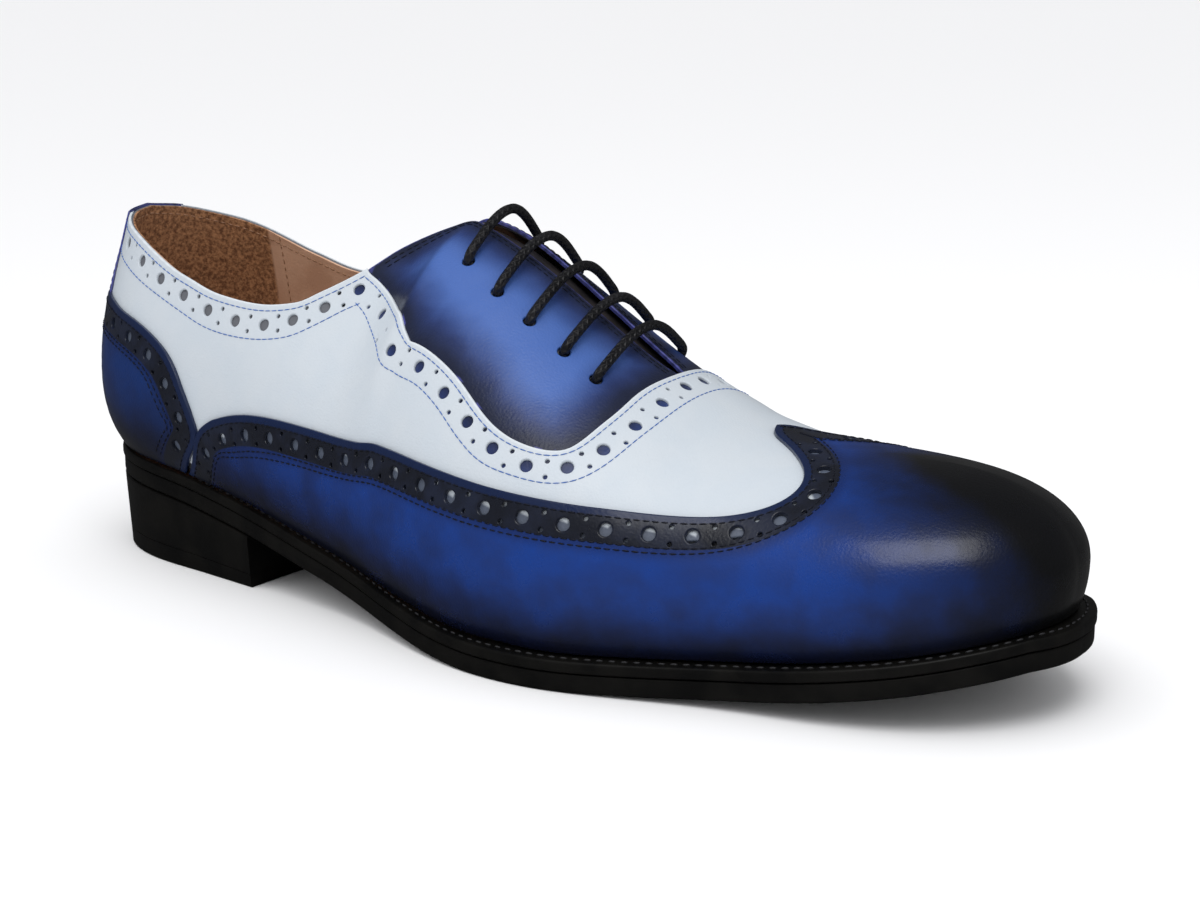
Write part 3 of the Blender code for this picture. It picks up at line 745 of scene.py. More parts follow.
@dataclass
class Panel:
    """A closed piece of leather cut from the last's surface.

    Fields:
        name: name of the piece.
        last: the last.
        rims: for each side, the flat path of its cut edge; a closed loop when corners is None.
        corners: flat corners on the centre line between the rim's end and its start, or None.
        top: height of the outer skin over the last.
        thickness: thickness of the leather.
        roll: radius of the rounded edge.
        spacing: distance of the inner points in flat millimetres.
        holes: for each side, its holes.
        seen: for each side, the seen part of its edge, or None for all of it.
    """

    name: str
    last: Last
    rims: dict[Side, Array]
    corners: Optional[list[tuple[float, float]]]
    top: float
    thickness: float
    roll: float = 0.0005
    spacing: float = 2.2
    holes: dict[Side, list[Hole]] = field(default_factory=dict)
    seen: Optional[dict[Side, Array]] = None

    def half(self, side: Side, pins: Optional[dict]) -> HalfPanel:
        """Points and faces of one side.

        Args:
            side: side of the foot.
            pins: centre places of the other side, so that both sides meet.
        Returns:
            The half.
        """
        last, rim = self.last, self.rims[side]
        closed = self.corners is None
        loop = rim if closed else np.concatenate([rim, np.array(self.corners, float).reshape(-1, 2)])
        turn = int(np.sign(area_of(loop)))
        count = len(rim)
        flats, angles, tilts = [], [], []
        held = {"ends": []} if pins is None else pins
        for k, angle in enumerate(ROLL):
            distance = self.roll * (1.0 - math.sin(angle))
            ring = inset(last, side, rim, distance, closed, turn) if distance > 0.0 else rim.copy()
            if not closed:
                for end in (0, -1):
                    for axis, value in ((1, 0.0), (0, 0.0), (0, FLAT[0])):
                        if abs(rim[end, axis] - value) < 1e-6:
                            ring[end, axis] = value
                if pins is None:
                    held["ends"].append((ring[0].copy(), ring[-1].copy()))
                else:
                    ring[0], ring[-1] = pins["ends"][k]
            flats.append(ring)
            angles.append(np.full(count, angle))
        space = tangents(last.form(side, rim), closed)
        outward = inset(last, side, rim, 1e-4, closed, turn)
        outward = last.form(side, rim) - last.form(side, outward)
        outward -= (outward * space).sum(-1, keepdims=True) * space
        outward /= np.maximum(np.linalg.norm(outward, axis=-1, keepdims=True), 1e-12)
        if not closed:
            for end in (0, -1):
                if rim[end, 1] < 1e-6 or rim[end, 0] < 1e-6 or rim[end, 0] > FLAT[0] - 1e-6:
                    outward[end, 1] = 0.0
                    outward[end] /= np.linalg.norm(outward[end])
        tilts = [outward] * len(ROLL)
        faces: list[tuple[int, int, int]] = []
        walls: list[tuple[int, int]] = []
        spans = count if closed else count - 1
        for k in range(len(ROLL) - 1):
            for i in range(spans):
                j = (i + 1) % count
                a, b, c, d = k * count + i, k * count + j, (k + 1) * count + j, (k + 1) * count + i
                faces += [(a, b, c), (a, c, d)]
        walls += [(i, (i + 1) % count) for i in range(spans)]
        base = (len(ROLL) - 1) * count
        inner_loop = list(range(base, base + count))
        total = count * len(ROLL)
        centre: list[int] = []
        if not closed:
            if pins is None:
                corners = np.array(self.corners, float).reshape(-1, 2)
                stops = np.concatenate([flats[-1][-1:], corners, flats[-1][:1]])
                held["centre"] = spread_corners(stops, 1.6)[1:-1]
            middle = held["centre"]
            flats.append(middle)
            angles.append(np.zeros(len(middle)))
            tilts.append(np.zeros((len(middle), 3)))
            inner_loop += list(range(total, total + len(middle)))
            starts = [k * count for k in range(len(ROLL))]
            centre = starts + [k + count - 1 for k in starts] + list(range(total, total + len(middle)))
            total += len(middle)
        hole_loops = []
        for hole in self.holes.get(side, []):
            if not self.clear(hole, loop):
                continue
            around = np.linspace(0.0, 2.0 * math.pi, hole.corners, endpoint=False)
            spot = np.array(hole.flat)[None]
            up, a, _ = last.facing(side, spot)
            u = a[0] / np.linalg.norm(a[0])
            w = np.cross(up[0], u)
            radial = np.cos(around)[:, None] * u + np.sin(around)[:, None] * w
            edge = min(self.roll, 0.35 * hole.radius)
            for angle in ROLL_HOLE:
                radius = hole.radius + edge * (1.0 - math.sin(angle))
                flats.append(last.moved(side, np.repeat(spot, hole.corners, 0), radial * radius))
                angles.append(np.full(hole.corners, angle))
                tilts.append(-radial)
            n = hole.corners
            for k in range(len(ROLL_HOLE) - 1):
                for i in range(n):
                    j = (i + 1) % n
                    a0, b0 = total + k * n + i, total + k * n + j
                    faces += [(a0, b0, b0 + n), (a0, b0 + n, a0 + n)]
            walls += [(total + i, total + (i + 1) % n) for i in range(n)]
            outer = total + (len(ROLL_HOLE) - 1) * n
            hole_loops.append(list(range(outer, outer + n)))
            total += n * len(ROLL_HOLE)
        flat = np.concatenate(flats)
        angle = np.concatenate(angles)
        tilt = np.concatenate(tilts)
        fill, extra = self.fill(flat, inner_loop, hole_loops)
        faces += fill
        flat = np.concatenate([flat, extra])
        angle = np.concatenate([angle, np.zeros(len(extra))])
        tilt = np.concatenate([tilt, np.zeros((len(extra), 3))])
        return HalfPanel(flat, angle, tilt, np.array(faces, int), np.array(walls, int), centre, held)

    @staticmethod
    def clear(hole: Hole, loop: Array) -> bool:
        """Whether a hole lies inside the rim with some leather around it.

        Args:
            hole: the hole.
            loop: closed flat loop.
        Returns:
            True where the hole has room.
        """
        spot = np.array(hole.flat)
        near = np.hypot(*(loop - spot).T).min()
        return bool(inside(spot[None], loop)[0]) and near > hole.radius * 1000.0 + 0.9 and hole.flat[1] > 2.4

    def fill(self, flat: Array, loop: list[int], holes: list[list[int]]) -> tuple[list, Array]:
        """Triangles between the rim's inner line, the centre line and the holes.

        Args:
            flat: all places so far.
            loop: indices of the closed loop.
            holes: indices of each hole's outer ring.
        Returns:
            The triangles and the flat places of the new points.
        """
        edge = flat[loop]
        low, high = edge.min(0), edge.max(0)
        h = self.spacing
        rows = []
        for row, y in enumerate(np.arange(low[1] + 0.4 * h, high[1], h * 0.866)):
            x = np.arange(low[0] + (0.5 * h if row % 2 else 0.1 * h), high[0], h)
            rows.append(np.stack([x, np.full(len(x), y)], -1))
        lattice = np.concatenate(rows)
        lattice = lattice[inside(lattice, edge)]
        fixed = list(loop) + [i for ring in holes for i in ring]
        tree = KDTree(len(fixed))
        for i in fixed:
            tree.insert((flat[i][0], flat[i][1], 0.0), i)
        tree.balance()
        lattice = np.array([p for p in lattice if tree.find((p[0], p[1], 0.0))[2] > 0.62 * h]).reshape(-1, 2)
        rings = [flat[ring] for ring in holes]
        for ring in rings:
            near = np.abs(lattice - ring.mean(0)).max(1) < 6.0
            keep = ~near
            keep[near] = ~inside(lattice[near], ring)
            lattice = lattice[keep]
        order = fixed + [-1 - k for k in range(len(lattice))]
        spots = [Vector((flat[i][0], flat[i][1])) for i in fixed] + [Vector((p[0], p[1])) for p in lattice]
        edges = [(k, (k + 1) % len(loop)) for k in range(len(loop))]
        start = len(loop)
        for ring in holes:
            edges += [(start + k, start + (k + 1) % len(ring)) for k in range(len(ring))]
            start += len(ring)
        out, _, tris, origin, _, _ = delaunay_2d_cdt(spots, edges, [], 1, 1e-6, True)
        base = len(flat)
        extra = list(lattice)
        names = []
        for k, sources in enumerate(origin):
            if sources:
                first = order[sources[0]]
                names.append(first if first >= 0 else base + (-1 - first))
            else:
                names.append(base + len(extra))
                extra.append(np.array([out[k][0], out[k][1]]))
        place = np.array([(v[0], v[1]) for v in out])
        tri = np.array([t for t in tris if len(t) == 3], int)
        middle = place[tri].mean(1)
        one, two = place[tri[:, 1]] - place[tri[:, 0]], place[tri[:, 2]] - place[tri[:, 0]]
        keep = inside(middle, edge) & (np.abs(one[:, 0] * two[:, 1] - one[:, 1] * two[:, 0]) > NUDGE)
        for ring in rings:
            near = np.flatnonzero(np.abs(middle - ring.mean(0)).max(1) < 6.0)
            keep[near[inside(middle[near], ring)]] = False
        names_array = np.array(names)
        return [tuple(t) for t in names_array[tri[keep]]], np.array(extra).reshape(-1, 2)

    def build(self) -> Object:
        """Closed mesh of both sides, with its own normals and attributes.

        Returns:
            The object.
        """
        points, tris, corner_normals = [], [], []
        marks = {"station": [], "down": [], "edge": []}
        offset = 0
        first: Optional[HalfPanel] = None
        weld: dict[int, int] = {}
        for side in self.rims:
            half = self.half(side, first.pins if first else None)
            n = len(half.flat)
            up, _, _ = self.last.facing(side, half.flat)
            drop = self.roll * (1.0 - np.cos(half.angle))
            outer = self.last.form(side, half.flat, self.top - drop)
            inner = self.last.form(side, half.flat, self.top - self.thickness)
            skin = np.cos(half.angle)[:, None] * up + np.sin(half.angle)[:, None] * half.tilt
            faces = half.faces
            cross = np.cross(outer[faces[:, 1]] - outer[faces[:, 0]], outer[faces[:, 2]] - outer[faces[:, 0]])
            lean = skin[faces].sum(1)
            wrong = (cross * lean).sum(-1) < 0.0
            faces = np.where(wrong[:, None], faces[:, ::-1], faces)
            i, j = half.walls[:, 0], half.walls[:, 1]
            wall = np.concatenate([np.stack([i, j, j + n], -1), np.stack([i, j + n, i + n], -1)])
            both = np.concatenate([outer, inner])
            cross = np.cross(both[wall[:, 1]] - both[wall[:, 0]], both[wall[:, 2]] - both[wall[:, 0]])
            tilt = np.concatenate([half.tilt, half.tilt])
            wrong = (cross * tilt[wall].sum(1)).sum(-1) < 0.0
            wall = np.where(wrong[:, None], wall[:, ::-1], wall)
            local = np.concatenate([faces, faces[:, ::-1] + n, wall])
            own = np.concatenate([skin[faces].reshape(-1, 3), (-up)[faces[:, ::-1]].reshape(-1, 3),
                                  tilt[wall].reshape(-1, 3)])
            if first is not None and half.centre:
                for mine, theirs in zip(half.centre, first.centre):
                    weld[offset + mine] = theirs
                    weld[offset + mine + n] = theirs + len(first.flat)
            tris.append(local + offset)
            corner_normals.append(own)
            points.append(both)
            marks["station"].append(np.tile(half.flat[:, 0] / FLAT[0], 2))
            marks["down"].append(np.tile(half.flat[:, 1] / FLAT[1], 2))
            marks["edge"].append(np.tile(self.edge_distance(side, outer), 2))
            offset += 2 * n
            first = first or half
        all_points = np.concatenate(points)
        all_tris = np.concatenate(tris)
        own = np.concatenate(corner_normals)
        target = np.arange(offset)
        for mine, theirs in weld.items():
            target[mine] = theirs
        all_tris = target[all_tris]
        good = ((all_tris[:, 0] != all_tris[:, 1]) & (all_tris[:, 1] != all_tris[:, 2])
                & (all_tris[:, 0] != all_tris[:, 2]))
        all_tris, own = all_tris[good], own.reshape(-1, 3, 3)[good].reshape(-1, 3)
        used = np.unique(all_tris)
        renumber = np.full(offset, -1)
        renumber[used] = np.arange(len(used))
        mesh = bpy.data.meshes.new(self.name)
        mesh.from_pydata(all_points[used].tolist(), [], renumber[all_tris].tolist())
        mesh.polygons.foreach_set("use_smooth", [True] * len(mesh.polygons))
        for key, parts in marks.items():
            mark(mesh, key, np.concatenate(parts)[used])
        mesh.normals_split_custom_set(own.tolist())
        mesh.update()
        return new_object(self.name, mesh)

    def edge_distance(self, side: Side, points: Array) -> Array:
        """Distance in millimetres of each point to the seen part of the cut edge.

        Args:
            side: side of the shoe.
            points: points in their order.
        Returns:
            One distance for each point.
        """
        path = (self.seen or self.rims)[side]
        edge = self.last.form(side, spread(path, 0.8), self.top)
        tree = KDTree(len(edge))
        for k, p in enumerate(edge):
            tree.insert(p, k)
        tree.balance()
        return np.array([min(tree.find(p)[2] * 1000.0, 60.0) for p in points])


def spread_corners(stops: Array, step: float) -> Array:
    """Even points along straight spans, with every corner kept.

    Args:
        stops: corners in their order.
        step: spacing along the path.
    Returns:
        Points with every corner among them.
    """
    parts = [stops[:1]]
    for a, b in zip(stops, stops[1:]):
        parts.append(spread(np.array([a, b]), step)[1:])
    return np.concatenate(parts)


def new_object(name: str, mesh: Mesh) -> Object:
    """Object of a mesh, linked to the scene.

    Args:
        name: name of the object.
        mesh: the mesh.
    Returns:
        The object.
    """
    obj = bpy.data.objects.new(name, mesh)
    bpy.context.scene.collection.objects.link(obj)
    return obj


# White panel and facing: the curled edge between them, from the centre line back to the collar
CURL_FRONT = ((0.645, 0.0), (0.6445, 0.05), (0.643, 0.105), (0.6415, 0.173), (0.6405, 0.243),
              (0.6365, 0.305), (0.631, 0.362), (0.623, 0.404), (0.6108, 0.4285), (0.5925, 0.446),
              (0.5772, 0.4527), (0.5595, 0.452), (0.5435, 0.4437), (0.5291, 0.432), (0.513, 0.4205),
              (0.4954, 0.4135), (0.4778, 0.411), (0.4601, 0.4115), (0.4457, 0.4148))
CURL_BACK = ((0.4457, 0.4148), (0.4377, 0.402), (0.4297, 0.372), (0.4168, 0.3156), (0.4, 0.262),
             (0.3896, 0.232), (0.3703, 0.183), (0.3575, 0.156), (0.3495, 0.14))
CURL_TOP = 0.3455
# Hidden lower edge of the white panel, and the station where it starts at the collar
WHITE_UNDER = ((0.066, 0.520), (0.088, 0.560), (0.118, 0.660), (0.150, 0.880), (0.172, 0.955), (0.205, 0.950),
               (0.240, 0.850), (0.310, 0.735), (0.450, 0.705), (0.580, 0.660), (0.640, 0.620), (0.745, 0.530),
               (0.805, 0.450), (0.838, 0.310), (0.825, 0.140), (0.775, 0.000))
WHITE_BACK = 0.066
# Stitched border lines of the white panel
COLLAR_BORDER = ((0.072, 0.205), (0.085, 0.232), (0.1026, 0.272), (0.117, 0.3138), (0.1331, 0.3571),
                 (0.1475, 0.3896), (0.1651, 0.4184), (0.1876, 0.4401), (0.21, 0.4473), (0.2309, 0.4455),
                 (0.2517, 0.4365), (0.2741, 0.4166), (0.295, 0.386), (0.3126, 0.3427), (0.3287, 0.2976),
                 (0.3415, 0.2633), (0.3511, 0.2435))
CURL_BORDER = ((0.3511, 0.2435), (0.3623, 0.2669), (0.3752, 0.303), (0.3928, 0.3535), (0.4088, 0.4058),
               (0.42, 0.4491), (0.4297, 0.4745), (0.4457, 0.4845), (0.4665, 0.482), (0.4858, 0.486),
               (0.5018, 0.4945), (0.5194, 0.5095), (0.5355, 0.5225), (0.5515, 0.531), (0.5691, 0.531),
               (0.5884, 0.5225), (0.6188, 0.4996), (0.6381, 0.4671), (0.6509, 0.4238), (0.6605, 0.3643),
               (0.6669, 0.2922), (0.6712, 0.2164), (0.6728, 0.1281), (0.6728, 0.05), (0.6728, 0.0))
# Large holes of the collar and of the curled edge
COLLAR_HOLES = ((0.0962, 0.1804), (0.1154, 0.2363), (0.1331, 0.2922), (0.1555, 0.3391), (0.1876, 0.3752),
                (0.2244, 0.3896), (0.2597, 0.377), (0.2902, 0.3337), (0.319, 0.2669), (0.3463, 0.1948))
CURL_HOLES = ((0.3463, 0.1948), (0.3864, 0.2778), (0.4281, 0.4347), (0.4665, 0.4491), (0.5018, 0.4617),
              (0.5339, 0.4798), (0.5643, 0.4942), (0.598, 0.487), (0.6301, 0.4419), (0.6493, 0.3571),
              (0.6589, 0.2525), (0.6605, 0.1425), (0.659, 0.04))
# Hidden lower edge of a facing
FACING_UNDER = ((0.6705, 0.006), (0.6708, 0.13), (0.6695, 0.216), (0.6652, 0.292), (0.659, 0.36),
                (0.6495, 0.418), (0.6365, 0.46), (0.6175, 0.492), (0.5884, 0.515), (0.5691, 0.5235),
                (0.5515, 0.5235), (0.5355, 0.515), (0.5194, 0.503), (0.5018, 0.488), (0.4858, 0.479),
                (0.4665, 0.475), (0.4457, 0.477), (0.4315, 0.467), (0.4225, 0.44), (0.4115, 0.401),
                (0.3955, 0.349), (0.378, 0.299), (0.364, 0.26), (0.353, 0.236), (0.343, 0.222),
                (0.334, 0.2))
# Seen edges of the wing, the counter and the back strip, and the way down at which panels end
WING_EDGE = ((0.737, 0.0), (0.743, 0.035), (0.7584, 0.07), (0.7812, 0.1283), (0.7964, 0.1904),
             (0.8035, 0.2505), (0.803, 0.3126), (0.7955, 0.364), (0.7797, 0.407), (0.7614, 0.4345),
             (0.7294, 0.4629), (0.6959, 0.485), (0.6624, 0.508), (0.6274, 0.5331), (0.5908, 0.558),
             (0.5482, 0.5812), (0.4918, 0.6052), (0.4263, 0.623), (0.3806, 0.632), (0.3365, 0.644),
             (0.2923, 0.6633), (0.2618, 0.6854), (0.2375, 0.7114), (0.2146, 0.7435), (0.1979, 0.7715),
             (0.1887, 0.7956), (0.175, 0.885), (0.158, 0.985))
COUNTER_EDGE = ((0.0, 0.405), (0.05, 0.405), (0.08, 0.412), (0.0968, 0.426), (0.108, 0.45), (0.119, 0.471),
                (0.13, 0.5), (0.1407, 0.537), (0.1497, 0.575), (0.1587, 0.625), (0.1671, 0.681),
                (0.175, 0.729), (0.1815, 0.769), (0.1855, 0.797), (0.172, 0.885), (0.155, 0.985))
STRIP_EDGE = ((0.07, 0.12), (0.072, 0.23), (0.078, 0.33), (0.084, 0.44))
FOOT = 0.985
# Lace holes, from the top one to the lowest
EYELETS = ((0.463, 0.190), (0.503, 0.205), (0.540, 0.205), (0.577, 0.205), (0.610, 0.205))


@dataclass
class Patterns:
    """Flat paths of every panel edge, stitch line and row of holes."""

    last: Last

    def top_edge(self, side: Side, start: float, end: float) -> Array:
        """Collar and facing edge between two stations, with its upper corner rounded.

        Args:
            side: side of the shoe.
            start: where it starts.
            end: where it ends.
        Returns:
            Flat path in millimetres.
        """
        stations = np.linspace(start, end, int(abs(end - start) * FLAT[0] / 0.8) + 2)
        downs = np.array([self.last.edge_down(side, float(s)) for s in stations])
        path = np.stack([stations * FLAT[0], downs * FLAT[1]], -1)
        for _ in range(14):
            soft = path.copy()
            soft[1:-1] = (path[:-2] + path[1:-1] + path[2:]) / 3.0
            near = (path[:, 0] > 0.40 * FLAT[0]) & (path[:, 0] < 0.47 * FLAT[0])
            path[near] = soft[near]
        return spread(path, 1.2)

    def curl(self, side: Side) -> Array:
        """The curled edge from the centre line to the collar."""
        top = (CURL_TOP, self.last.edge_down(side, CURL_TOP))
        return join(curve(CURL_FRONT), curve(CURL_BACK + (top,)))

    def white_rim(self, side: Side) -> Array:
        """Whole edge of the white panel.

        Args:
            side: side of the shoe.
        Returns:
            Flat path in millimetres.
        """
        collar = self.top_edge(side, CURL_TOP, WHITE_BACK)
        back = line((tuple(collar[-1] / FLAT), WHITE_UNDER[0]))
        return join(self.curl(side), collar, back, curve(WHITE_UNDER, 2.5))

    def white_seen(self, side: Side) -> Array:
        """Seen edge of the white panel."""
        return join(self.curl(side), self.top_edge(side, CURL_TOP, WHITE_BACK))

    def facing_rim(self, side: Side) -> Array:
        """Whole edge of a facing, as a closed loop.

        Args:
            side: side of the shoe.
        Returns:
            Flat closed loop in millimetres.
        """
        top = self.top_edge(side, CURL_TOP - 0.007, 0.640)
        top[:, 1] += np.clip(CURL_TOP * FLAT[0] - top[:, 0], 0.0, 1.0)
        under = curve(FACING_UNDER, 1.6)
        front = spread(np.array([top[-1], under[0]]), 1.2)[1:-1]
        tail = spread(np.array([under[-1], top[0]]), 1.2)[1:-1]
        return np.concatenate([top, front, under, tail])

    def facing_seen(self, side: Side) -> Array:
        """Seen edge of a facing: its own top and throat edge, and the curled edge that lies over it."""
        return join(self.top_edge(side, CURL_TOP, 0.640), self.curl(side))

    def wing_rim(self) -> Array:
        """Whole edge of the wing, down to the welt and along it to the toe."""
        return join(curve(WING_EDGE), line(((WING_EDGE[-1][0], FOOT), (1.0, FOOT)), 2.2))

    def counter_rim(self) -> Array:
        """Whole edge of the counter."""
        return join(curve(COUNTER_EDGE), line(((COUNTER_EDGE[-1][0], FOOT), (0.0, FOOT)), 2.2))

    def strip_rim(self, side: Side) -> Array:
        """Whole edge of the back strip.

        Args:
            side: side of the shoe.
        Returns:
            Flat path in millimetres.
        """
        top = self.top_edge(side, 0.0, 0.068)
        low = (0.0, STRIP_EDGE[-1][1])
        return join(top, curve((tuple(top[-1] / FLAT),) + STRIP_EDGE), line((STRIP_EDGE[-1], low)))

    def both(self, maker: Callable[[Side], Array]) -> dict[Side, Array]:
        """A path for each side."""
        return {side: maker(side) for side in Side}


class Tree:
    """Short way to make and join nodes."""

    def __init__(self, tree: NodeTree) -> None:
        """Keeps the tree."""
        self.tree = tree

    def link(self, value: Socket, socket: Socket) -> None:
        """Joins an output to an input."""
        self.tree.links.new(value, socket)

    def add(self, kind: str, inputs: Optional[dict] = None, **settings: object) -> Node:
        """New node.

        Args:
            kind: node type.
            inputs: by name or index, a value or another node's output socket.
            settings: properties of the node.
        Returns:
            The node.
        """
        node = self.tree.nodes.new(kind)
        for key, value in settings.items():
            setattr(node, key, value)
        for key, value in (inputs or {}).items():
            if isinstance(value, Socket):
                self.link(value, node.inputs[key])
            else:
                node.inputs[key].default_value = value
        return node

    def math(self, operation: str, a: object, b: object = 0.0, c: object = 0.0) -> Socket:
        """Result of one sum."""
        return self.add("ShaderNodeMath", {0: a, 1: b, 2: c}, operation=operation).outputs[0]

    def span(self, value: object, low: float, high: float, to_low: float = 0.0, to_high: float = 1.0,
             kind: str = "SMOOTHSTEP") -> Socket:
        """Value mapped from one range to another."""
        return self.add("ShaderNodeMapRange", {"Value": value, "From Min": low, "From Max": high,
                                               "To Min": to_low, "To Max": to_high},
                        interpolation_type=kind).outputs[0]

    def mix(self, share: object, a: object, b: object) -> Socket:
        """Mix of two colours.

        Args:
            share: share of the second colour.
            a: first colour.
            b: second colour.
        Returns:
            Colour socket.
        """
        node = self.add("ShaderNodeMix", data_type="RGBA")
        for socket, value in ((node.inputs[0], share), (node.inputs[6], a), (node.inputs[7], b)):
            if isinstance(value, Socket):
                self.link(value, socket)
            else:
                socket.default_value = value
        return node.outputs[2]

    def attribute(self, name: str) -> Socket:
        """Number stored on the mesh."""
        return self.add("ShaderNodeAttribute", attribute_name=name).outputs["Fac"]

    def noise(self, scale: object, detail: float = 2.0, rough: float = 0.5, vector: object = None) -> Socket:
        """Noise on the object's own coordinates."""
        place = vector or self.add("ShaderNodeTexCoord").outputs["Object"]
        return self.add("ShaderNodeTexNoise", {"Vector": place, "Scale": scale, "Detail": detail,
                                               "Roughness": rough}).outputs["Fac"]


def rgb(red: float, green: float, blue: float) -> tuple[float, float, float, float]:
    """Linear colour of a display colour from 0 to 255."""
    def linear(value: float) -> float:
        """Linear share of one channel."""
        share = value / 255.0
        return share / 12.92 if share <= 0.04045 else ((share + 0.055) / 1.055) ** 2.4
    return linear(red), linear(green), linear(blue), 1.0


class Effects:
    """Shader groups that several finishes use."""

    def __init__(self) -> None:
        """Builds every group once."""
        self.grain = self.make_grain()
        self.scuff = self.make_scuff()

    @staticmethod
    def group(name: str, inputs: dict[str, float], outputs: Iterable[str]) -> tuple[Tree, Node, Node]:
        """Empty group with float sockets.

        Args:
            name: name of the group.
            inputs: names and first values.
            outputs: names.
        Returns:
            The tree, its input node and its output node.
        """
        tree = bpy.data.node_groups.new(name, "ShaderNodeTree")
        for key, value in inputs.items():
            socket = tree.interface.new_socket(key, in_out="INPUT", socket_type="NodeSocketFloat")
            socket.default_value = value
        for key in outputs:
            tree.interface.new_socket(key, in_out="OUTPUT", socket_type="NodeSocketFloat")
        made = Tree(tree)
        return made, made.add("NodeGroupInput"), made.add("NodeGroupOutput")

    def make_grain(self) -> NodeTree:
        """Leather grain: fine pebbles with pores, and slow mottling.

        Returns:
            The node tree.
        """
        t, start, end = self.group("leather_grain", {"Pebble": 1500.0, "Mottle": 95.0}, ("Height", "Cloud"))
        place = t.add("ShaderNodeTexCoord").outputs["Object"]
        cells = t.add("ShaderNodeTexVoronoi", {"Vector": place, "Scale": start.outputs["Pebble"]},
                      feature="SMOOTH_F1")
        fine = t.noise(start.outputs["Pebble"], 3.0, 0.5, place)
        t.link(t.noise(start.outputs["Mottle"], 4.0, 0.5, place), end.inputs["Cloud"])
        t.link(t.math("MULTIPLY_ADD", cells.outputs["Distance"], -0.6, fine), end.inputs["Height"])
        return t.tree

    def make_scuff(self) -> NodeTree:
        """Small light scuffs, longer along the shoe.

        Returns:
            The node tree.
        """
        t, start, end = self.group("edge_scuffs", {"Scale": 160.0, "Amount": 0.72}, ("Mask",))
        place = t.add("ShaderNodeTexCoord").outputs["Object"]
        long_way = t.add("ShaderNodeMapping", {"Vector": place, "Scale": (1.0, 1.0, 5.0)})
        marks = t.noise(start.outputs["Scale"], 5.0, 0.75, long_way.outputs[0])
        low = start.outputs["Amount"]
        high = t.math("ADD", low, 0.06)
        mask = t.add("ShaderNodeMapRange", {"Value": marks, "From Min": low, "From Max": high})
        t.link(mask.outputs[0], end.inputs["Mask"])
        return t.tree


@dataclass(frozen=True)
class Finish:
    """A finish: plain sizes of the shader, and what drives its colour.

    Fields:
        name: name of the material.
        roughness: roughness of the surface.
        coat: weight of the polish.
        grain: height of the grain in metres.
        pebble: pebbles for a metre.
        colour: function that makes the colour in the material's tree from the grain's cloud.
        coat_roughness: roughness of the polish.
        specular: level of the plain reflection.
    """

    name: str
    roughness: float
    coat: float
    grain: float
    pebble: float
    colour: Callable[[Tree, Socket], Socket]
    coat_roughness: float = 0.25
    specular: float = 0.5

    def make(self, effects: Effects) -> Material:
        """Builds the material.

        Args:
            effects: the shared node groups.
        Returns:
            The material.
        """
        material = bpy.data.materials.new(self.name)
        material.use_nodes = True
        t = Tree(material.node_tree)
        shader = material.node_tree.nodes["Principled BSDF"]
        group = t.add("ShaderNodeGroup", node_tree=effects.grain)
        group.inputs["Pebble"].default_value = self.pebble
        colour = self.colour(t, group.outputs["Cloud"])
        t.link(colour, shader.inputs["Base Color"])
        smoother, rougher = self.roughness - 0.05, self.roughness + 0.06
        rough = t.span(group.outputs["Cloud"], 0.3, 0.7, smoother, rougher, "LINEAR")
        t.link(rough, shader.inputs["Roughness"])
        shader.inputs["Coat Weight"].default_value = self.coat
        shader.inputs["Coat Roughness"].default_value = self.coat_roughness
        shader.inputs["Specular IOR Level"].default_value = self.specular
        bump = t.add("ShaderNodeBump", {"Height": group.outputs["Height"], "Distance": self.grain,
                                        "Strength": 1.0})
        t.link(bump.outputs[0], shader.inputs["Normal"])
        return material


def white_colour(t: Tree, cloud: Socket) -> Socket:
    """White leather, a little bluer in its slow clouds, brighter at the cut edge, and darkened to grey-blue
    as painted shade where it lies under the wing and the counter, seen through their holes.

    Args:
        t: the material's tree.
        cloud: slow noise of the leather.
    Returns:
        Colour socket.
    """
    body = t.mix(t.span(cloud, 0.35, 0.65), rgb(189, 196, 203), rgb(186, 194, 202))
    body = t.mix(t.span(t.attribute("edge"), 0.9, 0.2), body, rgb(206, 212, 218))
    # painted shade: white that lies under the wing and the counter, seen only through their holes, is
    # darkened to grey-blue
    return t.mix(t.span(t.attribute("under"), 0.55, 0.95), body, rgb(84, 92, 108))


def blue_colour(bright: tuple, border: float, toe: bool) -> Callable:
    """Blue with a burnished near-black border along the edge and a burnished toe, darker towards the foot.

    Args:
        bright: colour of the panel's middle.
        border: width of the dark border in millimetres.
        toe: whether the toe is darkened.
    Returns:
        The function that makes the colour.
    """
    def make(t: Tree, cloud: Socket) -> Socket:
        """Colour in a material's tree.

        Args:
            t: the material's tree.
            cloud: slow noise of the leather.
        Returns:
            Colour socket.
        """
        shift = t.math("MULTIPLY_ADD", cloud, 2.0, -1.0)
        edge = t.attribute("edge")
        down = t.math("MULTIPLY_ADD", shift, 0.04, t.attribute("down"))
        station = t.math("MULTIPLY_ADD", shift, 0.012, t.attribute("station"))
        body = t.mix(t.math("MULTIPLY", t.span(cloud, 0.30, 0.72), 0.45), bright, rgb(8, 32, 84))
        # darker towards the foot, where the side turns under to the welt
        foot = t.span(down, 0.66, 0.97)
        body = t.mix(foot, body, rgb(8, 12, 32))
        if toe:
            tip = t.span(t.math("MULTIPLY_ADD", t.attribute("down"), -0.06, station), 0.775, 0.885)
            body = t.mix(tip, body, rgb(7, 8, 12))
        near = t.span(t.math("MULTIPLY_ADD", shift, 1.2, edge), border + 4.0, border)
        body = t.mix(t.math("MULTIPLY", near, 0.55), body, rgb(12, 24, 62))
        band = t.span(edge, border + 0.25, border - 0.1)
        body = t.mix(band, body, t.mix(t.span(cloud, 0.4, 0.65), rgb(20, 23, 33), rgb(26, 32, 50)))
        rim = t.span(edge, 2.4, 1.7)
        return t.mix(rim, body, rgb(15, 30, 64))
    return make


